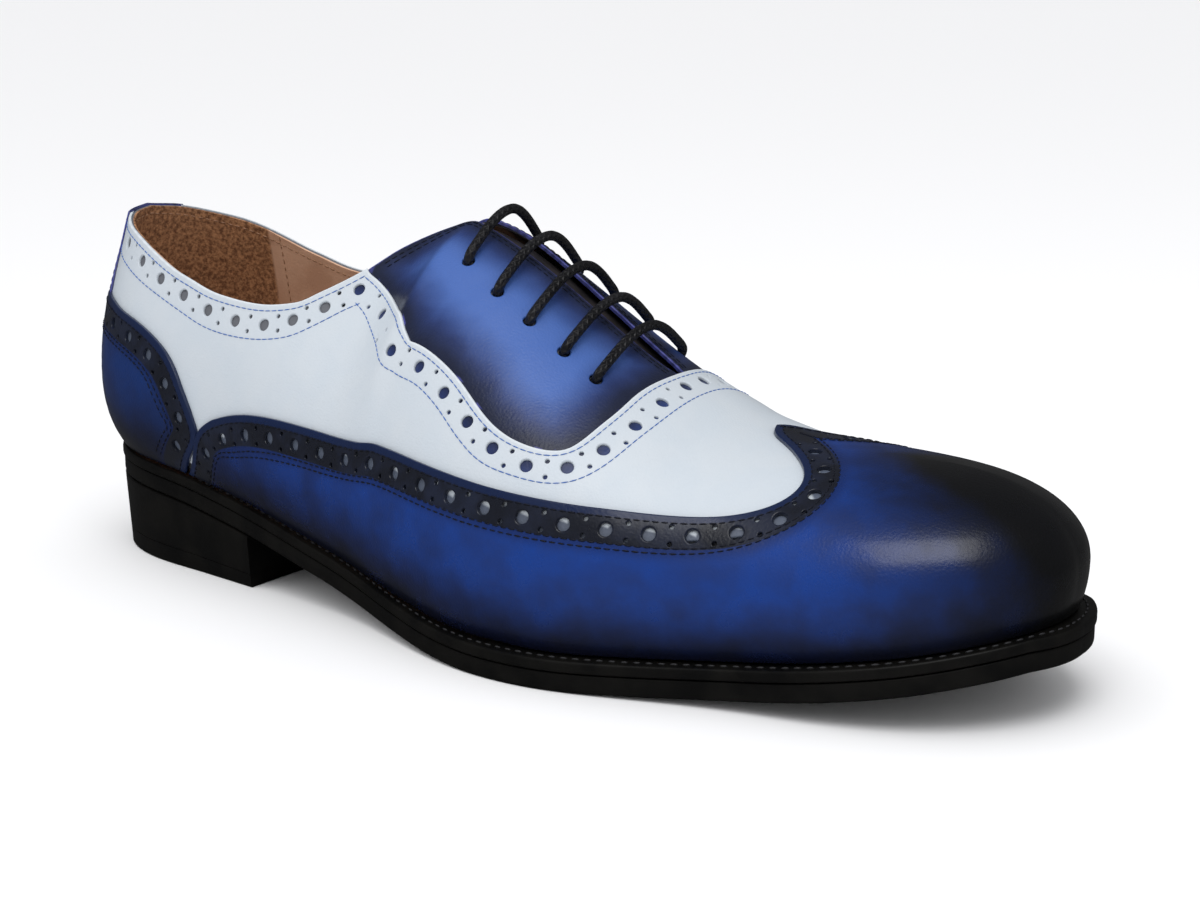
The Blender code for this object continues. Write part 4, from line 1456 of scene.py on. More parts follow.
def facing_colour(t: Tree, cloud: Socket) -> Socket:
    """Facing: bright blue middle that fades to grey-black at every edge, with a painted highlight as a thin
    light purple line along the cut edge.

    Args:
        t: the material's tree.
        cloud: slow noise of the leather.
    Returns:
        Colour socket.
    """
    shift = t.math("MULTIPLY_ADD", cloud, 2.0, -1.0)
    edge = t.math("MULTIPLY_ADD", shift, 3.0, t.attribute("edge"))
    body = t.mix(t.span(edge, 5.0, 17.0), rgb(34, 52, 104), rgb(64, 97, 166))
    body = t.mix(t.span(edge, 9.5, 0.5), body, rgb(26, 32, 54))
    # painted highlight: a thin light purple line along the cut edge
    return t.mix(t.span(t.attribute("edge"), 0.7, 0.2), body, rgb(70, 74, 150))


def plain_colour(first: tuple, second: tuple) -> Callable:
    """Two close colours mixed by the slow clouds."""
    return lambda t, cloud: t.mix(t.span(cloud, 0.35, 0.65), first, second)


def lining_colour(t: Tree, cloud: Socket) -> Socket:
    """Lining: dark tan nap at the heel, smooth tan before it; its outer skin, seen through the collar holes,
    is grey, a backing's colour darkened with painted shade for the holes' insides.

    Args:
        t: the material's tree.
        cloud: slow noise of the leather.
    Returns:
        Colour socket.
    """
    nap = t.noise(900.0, 3.0, 0.7)
    suede = t.mix(t.span(nap, 0.32, 0.70), rgb(101, 65, 41), rgb(180, 131, 92))
    tan = t.mix(t.span(cloud, 0.35, 0.65), rgb(205, 165, 137), rgb(192, 150, 122))
    body = t.mix(t.span(t.attribute("station"), 0.118, 0.120), suede, tan)
    body = t.mix(t.span(t.attribute("station"), 0.395, 0.425), body, rgb(58, 48, 46))
    # outer skin: grey of a backing behind the collar holes, partly painted shade of the holes' insides
    return t.mix(t.span(t.attribute("edge"), 4.0, 6.0), rgb(96, 98, 104), body)


def sole_colour(effects: Effects) -> Callable:
    """Black edge dressing with small light scuffs."""
    def make(t: Tree, cloud: Socket) -> Socket:
        """Colour in a material's tree.

        Args:
            t: the material's tree.
            cloud: slow noise of the leather.
        Returns:
            Colour socket.
        """
        scuffs = t.add("ShaderNodeGroup", node_tree=effects.scuff)
        body = t.mix(t.span(cloud, 0.35, 0.65), rgb(10, 10, 10), rgb(18, 17, 15))
        return t.mix(t.math("MULTIPLY", scuffs.outputs[0], 0.5), body, rgb(92, 92, 90))
    return make


class StitchTool:
    """Rows of stitches along lines, laid by Geometry Nodes."""

    def __init__(self) -> None:
        """Builds the tree."""
        self.group = bpy.data.node_groups.new("stitch_row", "GeometryNodeTree")
        face = self.group.interface
        face.new_socket("Geometry", in_out="INPUT", socket_type="NodeSocketGeometry")
        self.inputs: dict[str, str] = {}
        for name, kind in (("Pitch", "Float"), ("Length", "Float"), ("Thickness", "Float"), ("Seed", "Int"),
                           ("Material", "Material")):
            socket = face.new_socket(name, in_out="INPUT", socket_type="NodeSocket" + kind)
            self.inputs[name] = socket.identifier
        face.new_socket("Geometry", in_out="OUTPUT", socket_type="NodeSocketGeometry")
        t = Tree(self.group)
        start, end = t.add("NodeGroupInput"), t.add("NodeGroupOutput")
        rail = t.add("GeometryNodeMeshToCurve", {0: start.outputs["Geometry"]})
        even = t.add("GeometryNodeResampleCurve", {"Curve": rail.outputs[0],
                                                   "Length": start.outputs["Pitch"]}, mode="LENGTH")
        seed = t.add("GeometryNodeMeshUVSphere", {"Segments": 6, "Rings": 4, "Radius": 0.5})
        size = t.add("ShaderNodeCombineXYZ", {0: start.outputs["Length"], 1: start.outputs["Thickness"],
                                              2: start.outputs["Thickness"]})
        stitch = t.add("GeometryNodeTransform", {"Geometry": seed.outputs[0], "Scale": size.outputs[0]})
        way = t.add("GeometryNodeInputTangent")
        turn = t.add("FunctionNodeAlignRotationToVector", {"Vector": way.outputs[0]}, axis="X")
        vary = t.add("FunctionNodeRandomValue", {2: 0.93, 3: 1.04, "Seed": start.outputs["Seed"]},
                     data_type="FLOAT")
        laid = t.add("GeometryNodeInstanceOnPoints", {
            "Points": even.outputs[0], "Instance": stitch.outputs[0], "Rotation": turn.outputs[0],
            "Scale": vary.outputs[1]})
        real = t.add("GeometryNodeRealizeInstances", {0: laid.outputs[0]})
        soft = t.add("GeometryNodeSetShadeSmooth", {0: real.outputs[0]})
        done = t.add("GeometryNodeSetMaterial", {"Geometry": soft.outputs[0],
                                                 "Material": start.outputs["Material"]})
        t.link(done.outputs[0], end.inputs[0])

    def sew(self, name: str, lines: Sequence[Array], material: Material, pitch: float = 0.0023,
            length: float = 0.00195, thickness: float = 0.00042) -> Object:
        """Lays stitches along lines.

        Args:
            name: name of the piece.
            lines: points of each line in the shoe's frame.
            material: thread.
            pitch: distance of the stitches.
            length: length of a stitch.
            thickness: thickness of the thread.
        Returns:
            The piece, as a plain mesh.
        """
        edges, start = [], 0
        for points in lines:
            edges += [(start + k, start + k + 1) for k in range(len(points) - 1)]
            start += len(points)
        mesh = bpy.data.meshes.new(name + "_rails")
        mesh.from_pydata(np.concatenate(lines).tolist(), edges, [])
        obj = new_object(name, mesh)
        modifier = obj.modifiers.new("stitches", "NODES")
        modifier.node_group = self.group
        values = {"Pitch": pitch, "Length": length, "Thickness": thickness, "Seed": 7, "Material": material}
        for key, value in values.items():
            modifier[self.inputs[key]] = value
        bpy.context.view_layer.update()
        depsgraph = bpy.context.evaluated_depsgraph_get()
        plain = bpy.data.meshes.new_from_object(obj.evaluated_get(depsgraph))
        obj.modifiers.clear()
        obj.data = plain
        plain.name = name
        bpy.data.meshes.remove(mesh)
        return obj


def grid_mesh(name: str, grid: Array, wrap: bool = False, joined: Optional[Array] = None) -> Mesh:
    """Closed mesh of a two-sided sheet, from outer and inner points on one grid.

    Args:
        name: name of the mesh.
        grid: points by skin (outer, inner), row and column.
        wrap: joins the last row to the first.
        joined: which rows meet their mirror row at the first column, so that no rim is made there.
    Returns:
        The mesh.
    """
    _, rows, columns, _ = grid.shape
    index = np.arange(2 * rows * columns).reshape(2, rows, columns)
    faces = []
    spans = rows if wrap else rows - 1
    for i in range(spans):
        j = (i + 1) % rows
        for k in range(columns - 1):
            faces.append((index[0, i, k], index[0, j, k], index[0, j, k + 1], index[0, i, k + 1]))
            faces.append((index[1, i, k + 1], index[1, j, k + 1], index[1, j, k], index[1, i, k]))
        if joined is None or not (joined[i] and joined[j]):
            faces.append((index[1, i, 0], index[1, j, 0], index[0, j, 0], index[0, i, 0]))
        faces.append((index[0, i, -1], index[0, j, -1], index[1, j, -1], index[1, i, -1]))
    if not wrap:
        for k in range(columns - 1):
            faces.append((index[0, 0, k], index[0, 0, k + 1], index[1, 0, k + 1], index[1, 0, k]))
            faces.append((index[1, -1, k], index[1, -1, k + 1], index[0, -1, k + 1], index[0, -1, k]))
    mesh = bpy.data.meshes.new(name)
    mesh.from_pydata(grid.reshape(-1, 3).tolist(), [], [tuple(int(i) for i in face) for face in faces])
    return mesh


def finish_mesh(mesh: Mesh, angle: float = 40.0) -> None:
    """Welds the seams, faces outward and smooths below an angle.

    Args:
        mesh: the mesh.
        angle: largest smooth angle in degrees.
    """
    bm = bmesh.new()
    bm.from_mesh(mesh)
    bmesh.ops.remove_doubles(bm, verts=bm.verts, dist=1e-6)
    bmesh.ops.dissolve_degenerate(bm, edges=bm.edges, dist=1e-7)
    bmesh.ops.recalc_face_normals(bm, faces=bm.faces)
    if bm.calc_volume(signed=True) < 0.0:
        bmesh.ops.reverse_faces(bm, faces=bm.faces)
    bm.to_mesh(mesh)
    bm.free()
    mesh.polygons.foreach_set("use_smooth", [True] * len(mesh.polygons))
    mesh.set_sharp_from_angle(angle=math.radians(angle))


def mark(mesh: Mesh, name: str, values: Array) -> None:
    """Stores a number for each point."""
    layer = mesh.attributes.new(name, "FLOAT", "POINT")
    layer.data.foreach_set("value", np.asarray(values, np.float32).ravel())


class Slot(Enum):
    """Names of the material slots."""

    WHITE = "white_leather"
    BLUE = "blue_leather"
    NAVY = "navy_leather"
    SOLE = "black_sole"
    LINING = "tan_lining"
    CORD = "black_cord"


def place(obj: Object, material: Material, slot: Slot, *nodes: str) -> Object:
    """Gives a piece its material, hangs it on the body, and hides the nodes that it replaces.

    Args:
        obj: the piece.
        material: its material.
        slot: its material slot; not used.
        nodes: nodes that the piece replaces.
    Returns:
        The piece.
    """
    if not obj.data.materials:
        obj.data.materials.append(material)
    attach(obj, BODY)
    if nodes:
        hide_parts(*nodes)
    LOG.info("piece %s: %d faces", obj.name, len(obj.data.polygons))
    return obj


@dataclass
class Shop:
    """What every sub-assembly works with."""

    last: Last
    patterns: Patterns
    stitches: StitchTool
    effects: Effects
    threads: dict[str, Material]

    def sew(self, name: str, lines: Sequence[Array], thread: str, slot: Slot, **sizes: float) -> None:
        """Sews the lines with a thread and places the piece.

        Args:
            name: name of the piece.
            lines: points of each line in the shoe's frame.
            thread: name of the thread.
            slot: material slot.
            sizes: pitch, length and thickness where they aren't the usual ones.
        """
        material = self.threads[thread]
        place(self.stitches.sew(name, lines, material, **sizes), material, slot)

    def rows(self, side: Side, path: Array, insets: Iterable[float], flip: int, height: float,
             ends: tuple[float, float] = (0.0, 0.0)) -> list[Array]:
        """Stitch lines beside an edge.

        Args:
            side: side of the foot.
            path: flat path of the edge.
            insets: distances from the edge.
            flip: 1 where the leather lies left of the path.
            height: height over the last.
            ends: lengths in flat millimetres left free at both ends.
        Returns:
            The lines in the shoe's frame.
        """
        fine = spread(path, 1.0)
        first, final = int(ends[0]), len(fine) - int(ends[1])
        lines = []
        for distance in insets:
            flat = inset(self.last, side, fine, distance, False, flip)[first:final]
            flat = soften(flat, 6)
            if distance > 0.004:
                flat = soften(flat, 60)
            flat[:, 1] = np.maximum(flat[:, 1], 0.0)
            lines.append(self.last.form(side, flat, height))
        return lines


@dataclass
class Quarters:
    """White panel with its curled front edge, collar border and punched rows."""

    shop: Shop
    top: float = 0.0
    thickness: float = 0.00076
    edge_stitch: float = 0.0020
    curl_stitch: float = 0.0017
    stitch_height: float = RAISED
    hidden: float = 0.0032
    pitch: float = 0.0021
    thread: float = 0.00032

    def holes(self, side: Side) -> list[Hole]:
        """Both rows of holes of one side."""
        last, brogue = self.shop.last, Brogue()
        return brogue.through(last, side, COLLAR_HOLES) + brogue.through(last, side, CURL_HOLES)[1:]

    def build(self) -> None:
        """Builds the panel and its stitches."""
        shop, patterns = self.shop, self.shop.patterns
        panel = Panel("quarter_leather", shop.last, patterns.both(patterns.white_rim), [], self.top,
                      self.thickness, holes=patterns.both(self.holes),
                      seen=patterns.both(patterns.white_seen))
        finish = Finish("white_leather", 0.42, 0.10, 0.00006, 1700.0, white_colour)
        leather = panel.build()
        self.shade(leather.data)
        place(leather, finish.make(shop.effects), Slot.WHITE, "upper")
        lines = []
        for side in Side:
            lines += shop.rows(side, patterns.top_edge(side, CURL_TOP, 0.078), (self.edge_stitch,), -1,
                               self.stitch_height, (2.0, 0.0))
            lines += shop.rows(side, patterns.curl(side), (self.curl_stitch,), -1, self.stitch_height,
                               (0.0, 3.0))
            for table in (COLLAR_BORDER, CURL_BORDER):
                lines.append(shop.last.form(side, curve(table), self.stitch_height))
        shop.sew("quarter_stitches", lines, "blue", Slot.BLUE, pitch=self.pitch, length=self.pitch,
                 thickness=self.thread)

    def shade(self, mesh: Mesh) -> None:
        """Marks the leather that lies under the wing and the counter, which the white's colour darkens as
        painted shade.

        Args:
            mesh: the mesh.
        """
        values = np.empty((2, len(mesh.vertices)), np.float32)
        for row, key in zip(values, ("station", "down")):
            mesh.attributes[key].data.foreach_get("value", row)
        flat = values.T * FLAT
        last = self.shop.last
        wing = inset(last, Side.LATERAL, curve(WING_EDGE), self.hidden, False, -1)
        wing = np.concatenate([wing, [[wing[-1][0], FLAT[1]], FLAT, [FLAT[0], 0.0]]])
        counter = inset(last, Side.LATERAL, curve(COUNTER_EDGE), self.hidden, False, 1)
        counter = np.concatenate([counter, [[counter[-1][0], FLAT[1]], [0.0, FLAT[1]]]])
        # this mark drives the painted shade of the white seen through the wing's and the counter's holes
        mark(mesh, "under", inside(flat, wing) | inside(flat, counter))


@dataclass
class Facings:
    """Blue lace facings under the curled edge."""

    shop: Shop
    top: float = -0.0008
    thickness: float = 0.0010
    eyelet: float = 0.0017
    corners: int = 20
    roll: float = 0.0004
    edge_rows: tuple[float, float] = (0.0016, 0.0030)
    last_stitch: float = 0.636
    thread: float = 0.00036

    def build(self) -> None:
        """Builds both facings and their stitches."""
        shop, patterns = self.shop, self.shop.patterns
        holes = [Hole((s * FLAT[0], d * FLAT[1]), self.eyelet, self.corners) for s, d in EYELETS]
        panel = Panel("facing_leather", shop.last, patterns.both(patterns.facing_rim), None, self.top,
                      self.thickness, roll=self.roll, holes={side: holes for side in Side},
                      seen=patterns.both(patterns.facing_seen))
        finish = Finish("blue_facing", 0.36, 0.22, 0.00009, 1500.0, facing_colour)
        place(panel.build(), finish.make(shop.effects), Slot.BLUE, "upper")
        lines = []
        for side in Side:
            lines += shop.rows(side, patterns.top_edge(side, CURL_TOP, self.last_stitch), self.edge_rows, 1,
                               self.top + RAISED, (5.0, 0.0))
        shop.sew("facing_stitches", lines, "navy", Slot.NAVY, thickness=self.thread)


@dataclass
class Wing:
    """Blue wing over the toe, with its arms along both sides."""

    shop: Shop
    top: float = 0.0012
    thickness: float = 0.00115
    first_hole: float = 0.0042
    most_holes: int = 40
    lowest_hole: float = 88.0

    def build(self) -> None:
        """Builds the wing and its stitches."""
        shop, patterns = self.shop, self.shop.patterns
        edge = curve(WING_EDGE)
        holes, lines = {}, []
        for side in Side:
            row = soften(inset(shop.last, side, edge, HOLE_LINE, False, -1), 12)
            row[:, 1] = np.clip(row[:, 1], 0.0, FLAT[1])
            row = Brogue().along(shop.last, side, row, self.first_hole, self.most_holes)
            holes[side] = [hole for hole in row if hole.flat[1] < self.lowest_hole]
            lines += shop.rows(side, edge, BORDER_ROWS, -1, self.top + RAISED)
        rim = patterns.wing_rim()
        panel = Panel("wing_leather", shop.last, {side: rim.copy() for side in Side}, [(FLAT[0], 0.0)],
                      self.top, self.thickness, holes=holes, seen={side: edge for side in Side})
        colour = blue_colour(rgb(12, 53, 128), BORDER * 1000.0, True)
        finish = Finish("blue_wing", 0.30, 0.35, 0.00005, 1500.0, colour, 0.16)
        place(panel.build(), finish.make(shop.effects), Slot.BLUE, "wingtip")
        shop.sew("wing_stitches", lines, "navy", Slot.NAVY)


@dataclass
class HeelCover:
    """Blue counter round the heel and the narrow strip above it."""

    shop: Shop
    top: float = 0.0012
    thickness: float = 0.00115
    strip_top: float = 0.0008
    strip_thickness: float = 0.0015
    strip_stitch: float = 0.0018
    first_hole: float = 0.0050
    most_holes: int = 20
    rearmost_hole: float = 3.0
    lowest_hole: float = 86.0

    def build(self) -> None:
        """Builds both panels and their stitches."""
        shop, patterns = self.shop, self.shop.patterns
        edge = curve(COUNTER_EDGE)
        holes, lines = {}, []
        for side in Side:
            row = soften(inset(shop.last, side, edge, HOLE_LINE, False, 1), 12)
            row[:, 0] = np.clip(row[:, 0], 0.0, FLAT[0])
            row = Brogue().along(shop.last, side, row, self.first_hole, self.most_holes)
            holes[side] = [hole for hole in row
                           if hole.flat[0] > self.rearmost_hole and hole.flat[1] < self.lowest_hole]
            lines += shop.rows(side, edge, BORDER_ROWS, 1, self.top + RAISED)
            lines += shop.rows(side, patterns.strip_rim(side), (self.strip_stitch,), 1,
                               self.strip_top + RAISED)
        colour = blue_colour(rgb(10, 42, 98), BORDER * 1000.0, False)
        finish = Finish("blue_heel", 0.32, 0.30, 0.00005, 1500.0, colour, 0.18)
        material = finish.make(shop.effects)
        rim = patterns.counter_rim()
        counter = Panel("counter_leather", shop.last, {side: rim.copy() for side in Side}, [], self.top,
                        self.thickness, holes=holes, seen={side: edge for side in Side})
        place(counter.build(), material, Slot.BLUE, "heel_counter")
        strip = Panel("strip_leather", shop.last, patterns.both(patterns.strip_rim), [], self.strip_top,
                      self.strip_thickness)
        strip_finish = Finish("blue_strip", 0.34, 0.25, 0.00005, 1500.0, facing_colour)
        place(strip.build(), strip_finish.make(shop.effects), Slot.BLUE, "back_strip")
        shop.sew("heel_stitches", lines, "navy", Slot.NAVY)


@dataclass
class Lining:
    """Lining of the whole inside: nap at the heel, smooth leather before it."""

    shop: Shop
    outer: float = -0.00082
    inner: float = -0.00195
    facing_outer: float = -0.00184
    facing_inner: float = -0.00225
    seam: float = 0.119
    groove: float = 0.0003
    groove_half: float = 0.0022
    below_edge: float = 0.004
    tucked: float = 0.030
    edge_mark: float = 10.0
    edge_stitch: float = 0.0026
    thread_out: float = 0.00002
    seam_stitch: float = 0.007

    def deep(self, station: Array, down: Array) -> Array:
        """Share of the lower place under the facings.

        Args:
            station: share of the way from heel to toe.
            down: share of the way from centre line to feather line.
        Returns:
            Share between 0 and 1.
        """
        under = np.array(sorted(FACING_UNDER))
        low = np.interp(station, under[:, 0], under[:, 1])
        near = np.clip((low + 0.09 - down) / 0.05, 0.0, 1.0)
        along = np.clip((station - 0.318) / 0.010, 0.0, 1.0) * np.clip((0.690 - station) / 0.014, 0.0, 1.0)
        share = near * along
        return share * share * (3.0 - 2.0 * share)

    def build(self) -> None:
        """Builds the lining and its rows of stitches."""
        last = self.shop.last
        stations = np.unique(np.concatenate([np.linspace(0.0, 0.05, 9), np.linspace(0.05, 0.345, 48),
                                             np.linspace(0.345, 0.66, 64), np.linspace(0.66, 1.0, 42),
                                             [self.seam, self.seam + 0.0012, 0.645]]))
        shares = np.linspace(0.0, 1.0, 30) ** 1.25
        grids, joined, marks = [], [], {"station": [], "down": [], "edge": []}
        for side, order in ((Side.LATERAL, 1), (Side.MEDIAL, -1)):
            tops = np.array([last.edge_down(side, float(s)) for s in stations])
            joined.append((tops <= 0.0)[::order])
            hide = np.clip((stations - 0.42) / 0.02, 0.0, 1.0) * np.clip((0.648 - stations) / 0.01, 0.0, 1.0)
            tops = tops + np.where(tops > 0.0, self.below_edge + self.tucked * hide, 0.0)
            down = tops[:, None] + (FOOT - tops[:, None]) * shares
            station = np.repeat(stations[:, None], len(shares), 1)
            flat = np.stack([station, down], -1) * FLAT
            share = self.deep(station, down)
            groove = self.groove * np.exp(-((station - self.seam) / self.groove_half) ** 2)
            outer = last.form(side, flat, self.outer + share * (self.facing_outer - self.outer))
            inner = last.form(side, flat, self.inner + groove + share * (self.facing_inner - self.inner))
            grids.append(np.stack([outer, inner])[:, ::order])
            for key, value in (("station", station), ("down", down), ("edge", np.zeros_like(down))):
                raised = value + (self.edge_mark if key == "edge" else 0.0)
                marks[key].append(np.stack([value, raised])[:, ::order])
        grid = np.concatenate(grids, axis=1)
        mesh = grid_mesh("lining_leather", grid, True, np.concatenate(joined))
        for key, parts in marks.items():
            mark(mesh, key, np.concatenate(parts, axis=1))
        finish_mesh(mesh, 50.0)
        finish = Finish("lining", 0.62, 0.0, 0.00008, 1300.0, lining_colour)
        place(new_object("lining_leather", mesh), finish.make(self.shop.effects), Slot.LINING, "upper")
        lines = []
        for side in Side:
            path = self.shop.patterns.top_edge(side, 0.0, 0.43)
            lines += self.shop.rows(side, path, (self.edge_stitch,), 1, self.inner - self.thread_out)
            downs = np.linspace(last.edge_down(side, self.seam) + 0.04, 0.60, 60)
            flat = np.stack([np.full(60, self.seam + self.seam_stitch), downs], -1) * FLAT
            lines.append(last.form(side, flat, self.inner - self.thread_out))
        self.shop.sew("lining_stitches", lines, "tan", Slot.LINING)


@dataclass
class Tongue:
    """Tongue under the facings, set low enough for the hidden runs of the lace."""

    shop: Shop
    top: float = -0.0037
    thickness: float = 0.0014
    half: float = 0.0235
    start: float = 0.440
    end: float = 0.670

    def build(self) -> None:
        """Builds the tongue."""
        last = self.shop.last
        stations = np.linspace(self.start, self.end, 50)
        shares = np.linspace(0.0, 1.0, 16)
        rows = []
        for skin in (self.top, self.top - self.thickness):
            halves = []
            for side in (Side.LATERAL, Side.MEDIAL):
                edge = np.array([last.down_at_width(side, float(s), self.half) for s in stations])
                down = edge[:, None] * shares
                flat = np.stack([np.repeat(stations[:, None], len(shares), 1), down], -1) * FLAT
                points = last.form(side, flat, skin)
                halves.append(points[:, ::-1] if side is Side.LATERAL else points[:, 1:])
            rows.append(np.concatenate(halves, axis=1))
        mesh = grid_mesh("tongue_leather", np.array(rows))
        finish_mesh(mesh, 50.0)
        finish = Finish("tongue", 0.5, 0.05, 0.00007, 1300.0, plain_colour(rgb(52, 48, 48), rgb(38, 36, 40)))
        place(new_object("tongue_leather", mesh), finish.make(self.shop.effects), Slot.NAVY, "tongue")


# Rings of the heel block: share of its height, and how far the ring stands back
HEEL_RINGS = ((0.0, -0.0006), (0.004, -0.0003), (0.02, 0.0), (0.248, 0.0), (0.254, -0.00022), (0.260, 0.0),
              (0.90, 0.0), (0.98, 0.0), (1.0, -0.0005))


@dataclass
class Bottom:
    """Insole, welt with its stitches, outsole and heel block."""

    shop: Shop
    seat: float = 0.0085
    clearance: float = 0.0003
    welt: float = 0.0030
    insole: float = 0.0030
    inside: float = -0.0032
    step: float = 0.0004
    taper: float = 0.0012
    breast: float = 0.0730
    hollow: float = 0.0020
    count: int = 150
    welt_corners: tuple[float, float] = (0.0005, 0.0008)
    sole_corners: tuple[float, float] = (0.0009, 0.0005)
    first_stitch: float = 0.17
    stitch_in: float = 0.0024
    stitch_least: float = 0.0006
    pitch: float = 0.0031
    stitch: float = 0.0021
    thread: float = 0.0006

    def ring(self, stations: Array, margin: float, height: Curve, share: float = 1.0,
             front: Sequence[tuple[float, float]] = ()) -> tuple[Array, int]:
        """Closed ring round the sole's plan.

        Args:
            stations: rising stations.
            margin: distance outside the sole's edge.
            height: height for each x.
            share: share of the sole's own margin over the feather line.
            front: x and y of the points that close the ring before the toe.
        Returns:
            The points, and how many of them are on each side.
        """
        last = self.shop.last
        edge = last.margin(stations) * share + margin
        near = np.stack(last.outline(Side.LATERAL, stations, edge), -1)
        far = np.stack(last.outline(Side.MEDIAL, stations, edge), -1)
        middle = np.array(front, float).reshape(-1, 2)
        back = far[::-1] if len(middle) else far[-2::-1]
        plan = np.concatenate([near, middle, back[:-1]])
        points = np.concatenate([plan, height(plan[:, 0])[:, None]], axis=1)
        return points + last.shift, len(near)

    def body(self, name: str, rings: Sequence[tuple[Array, int]], material: Material, slot: Slot,
             node: str, angle: float = 50.0) -> None:
        """Closed body of rings from the lowest to the highest.

        Args:
            name: name of the object.
            rings: rings of points, each with its first side's count.
            material: its material.
            slot: its material slot.
            node: node that it replaces, or an empty text.
            angle: largest smooth angle in degrees.
        """
        count, side = len(rings[0][0]), rings[0][1]
        points = np.concatenate([ring for ring, _ in rings])
        faces = []
        for k in range(len(rings) - 1):
            for i in range(count):
                j = (i + 1) % count
                faces.append((k * count + i, k * count + j, (k + 1) * count + j, (k + 1) * count + i))
        for base in (0, (len(rings) - 1) * count):
            for i in range(side - 1):
                other, behind = (count - i - 1) % count, (count - i) % count
                cell = [base + i, base + i + 1, base + other, base + behind]
                faces.append(tuple(dict.fromkeys(cell)))
                if i + 1 >= other:
                    break
            spare = count - 2 * side + 1
            if spare > 0:
                faces.append(tuple(base + side - 1 + k for k in range(spare + 2)))
        mesh = bpy.data.meshes.new(name)
        mesh.from_pydata(points.tolist(), [], [face for face in faces if len(set(face)) > 2])
        finish_mesh(mesh, angle)
        place(new_object(name, mesh), material, slot, node)

    def rolled(self, low: Callable, high: Callable, outer: float, soft_low: float, soft_high: float,
               stations: Array) -> list[tuple[Array, int]]:
        """Rings of an edge with both corners rounded.

        Args:
            low: height of the lower edge.
            high: height of the upper edge.
            outer: way out past the feather line.
            soft_low: radius of the lower corner.
            soft_high: radius of the upper corner.
            stations: stations of the rings.
        Returns:
            The rings, from the lowest to the highest.
        """
        rings = []
        for angle in np.radians([0.0, 22.5, 45.0, 67.5, 90.0]):
            back = soft_low * (1.0 - math.sin(angle))
            rise = soft_low * (1.0 - math.cos(angle))
            rings.append(self.ring(stations, outer - back, lambda x, r=rise: low(x) + r))
        for angle in np.radians([90.0, 67.5, 45.0, 22.5, 0.0]):
            back = soft_high * (1.0 - math.sin(angle))
            drop = soft_high * (1.0 - math.cos(angle))
            rings.append(self.ring(stations, outer - back, lambda x, d=drop: high(x) - d))
        return rings

    def build(self) -> None:
        """Builds every piece below the upper."""
        last, shop = self.shop.last, self.shop
        turn = np.linspace(0.0, math.pi, self.count)
        stations = 0.5 * (1.0 - np.cos(turn)) * 0.35 + np.linspace(0.0, 1.0, self.count) * 0.65

        def level(drop: float) -> Curve:
            """Heights a drop below the feather line."""
            return lambda x: last.feather(x) - drop

        dressing = Finish("sole_edge", 0.42, 0.0, 0.00003, 900.0, sole_colour(shop.effects), specular=0.28)
        sole = dressing.make(shop.effects)
        tan = plain_colour(rgb(176, 140, 112), rgb(160, 122, 96))
        sock = Finish("insole_sock", 0.6, 0.0, 0.00006, 1300.0, tan)
        rings = [self.ring(stations, self.inside, level(-height), 0.0)
                 for height in (self.clearance, self.clearance + self.insole)]
        self.body("insole_sock", rings, sock.make(shop.effects), Slot.LINING, "insole")
        low = self.clearance + self.welt
        rings = self.rolled(level(low), level(self.clearance), 0.0, *self.welt_corners, stations)
        self.body("welt_strip", rings, sole, Slot.SOLE, "welt")
        top = low + self.clearance
        rings = self.rolled(level(self.seat), level(top), -self.step, *self.sole_corners, stations)
        self.body("sole_leather", rings, sole, Slot.SOLE, "outsole")
        self.heel(sole)
        lines = []
        for side in Side:
            s = np.linspace(self.first_stitch, 1.0, 260)
            x, y = last.outline(side, s, np.maximum(last.margin(s) - self.stitch_in, self.stitch_least))
            z = last.feather(x) - self.clearance + 0.0001
            lines.append(np.stack([x, y, z], -1) + last.shift)
        shop.sew("welt_stitches", lines, "grey", Slot.SOLE, pitch=self.pitch, length=self.stitch,
                 thickness=self.thread)

    def heel(self, material: Material) -> None:
        """Heel block: tapered, with a hollowed breast and its lifts' fine lines.

        Args:
            material: its material.
        """
        last = self.shop.last
        stations = np.concatenate([0.06 * (1.0 - np.cos(np.linspace(0.0, math.pi / 2.0, 24)))[:-1],
                                   np.linspace(0.06, self.breast / last.length, 40)])
        top = self.seat + self.clearance
        rings = []
        for share, back in HEEL_RINGS:
            margin = -self.step - self.taper * (1.0 - share) + back
            edge = float(last.margin(stations[-1])) + margin
            near = float(last.outline(Side.LATERAL, stations[-1], edge)[1])
            far = float(last.outline(Side.MEDIAL, stations[-1], edge)[1])
            breast = self.breast + (0.4 * back if share in (0.0, 1.0) else 0.0)
            front = [(breast - self.hollow * 4.0 * t * (1.0 - t), near + (far - near) * t)
                     for t in np.linspace(0.0, 1.0, 19)[1:-1]]
            rings.append(self.ring(stations, margin, lambda x, k=share: k * (last.feather(x) - top), 1.0,
                                   front))
        self.body("heel_lifts", rings, material, Slot.SOLE, "heel")


# Points of a bar: share of the way from the centre line to its hole, first side positive
BAR_SHARES = (0.93, 0.80, 0.62, 0.42, 0.20, 0.0, -0.20, -0.42, -0.62, -0.80, -0.93)
# Hidden end of the lace: station and way down
LACE_END = ((0.602, 0.235), (0.590, 0.255), (0.560, 0.255), (0.530, 0.255), (0.500, 0.255), (0.480, 0.255),
            (0.470, 0.255))


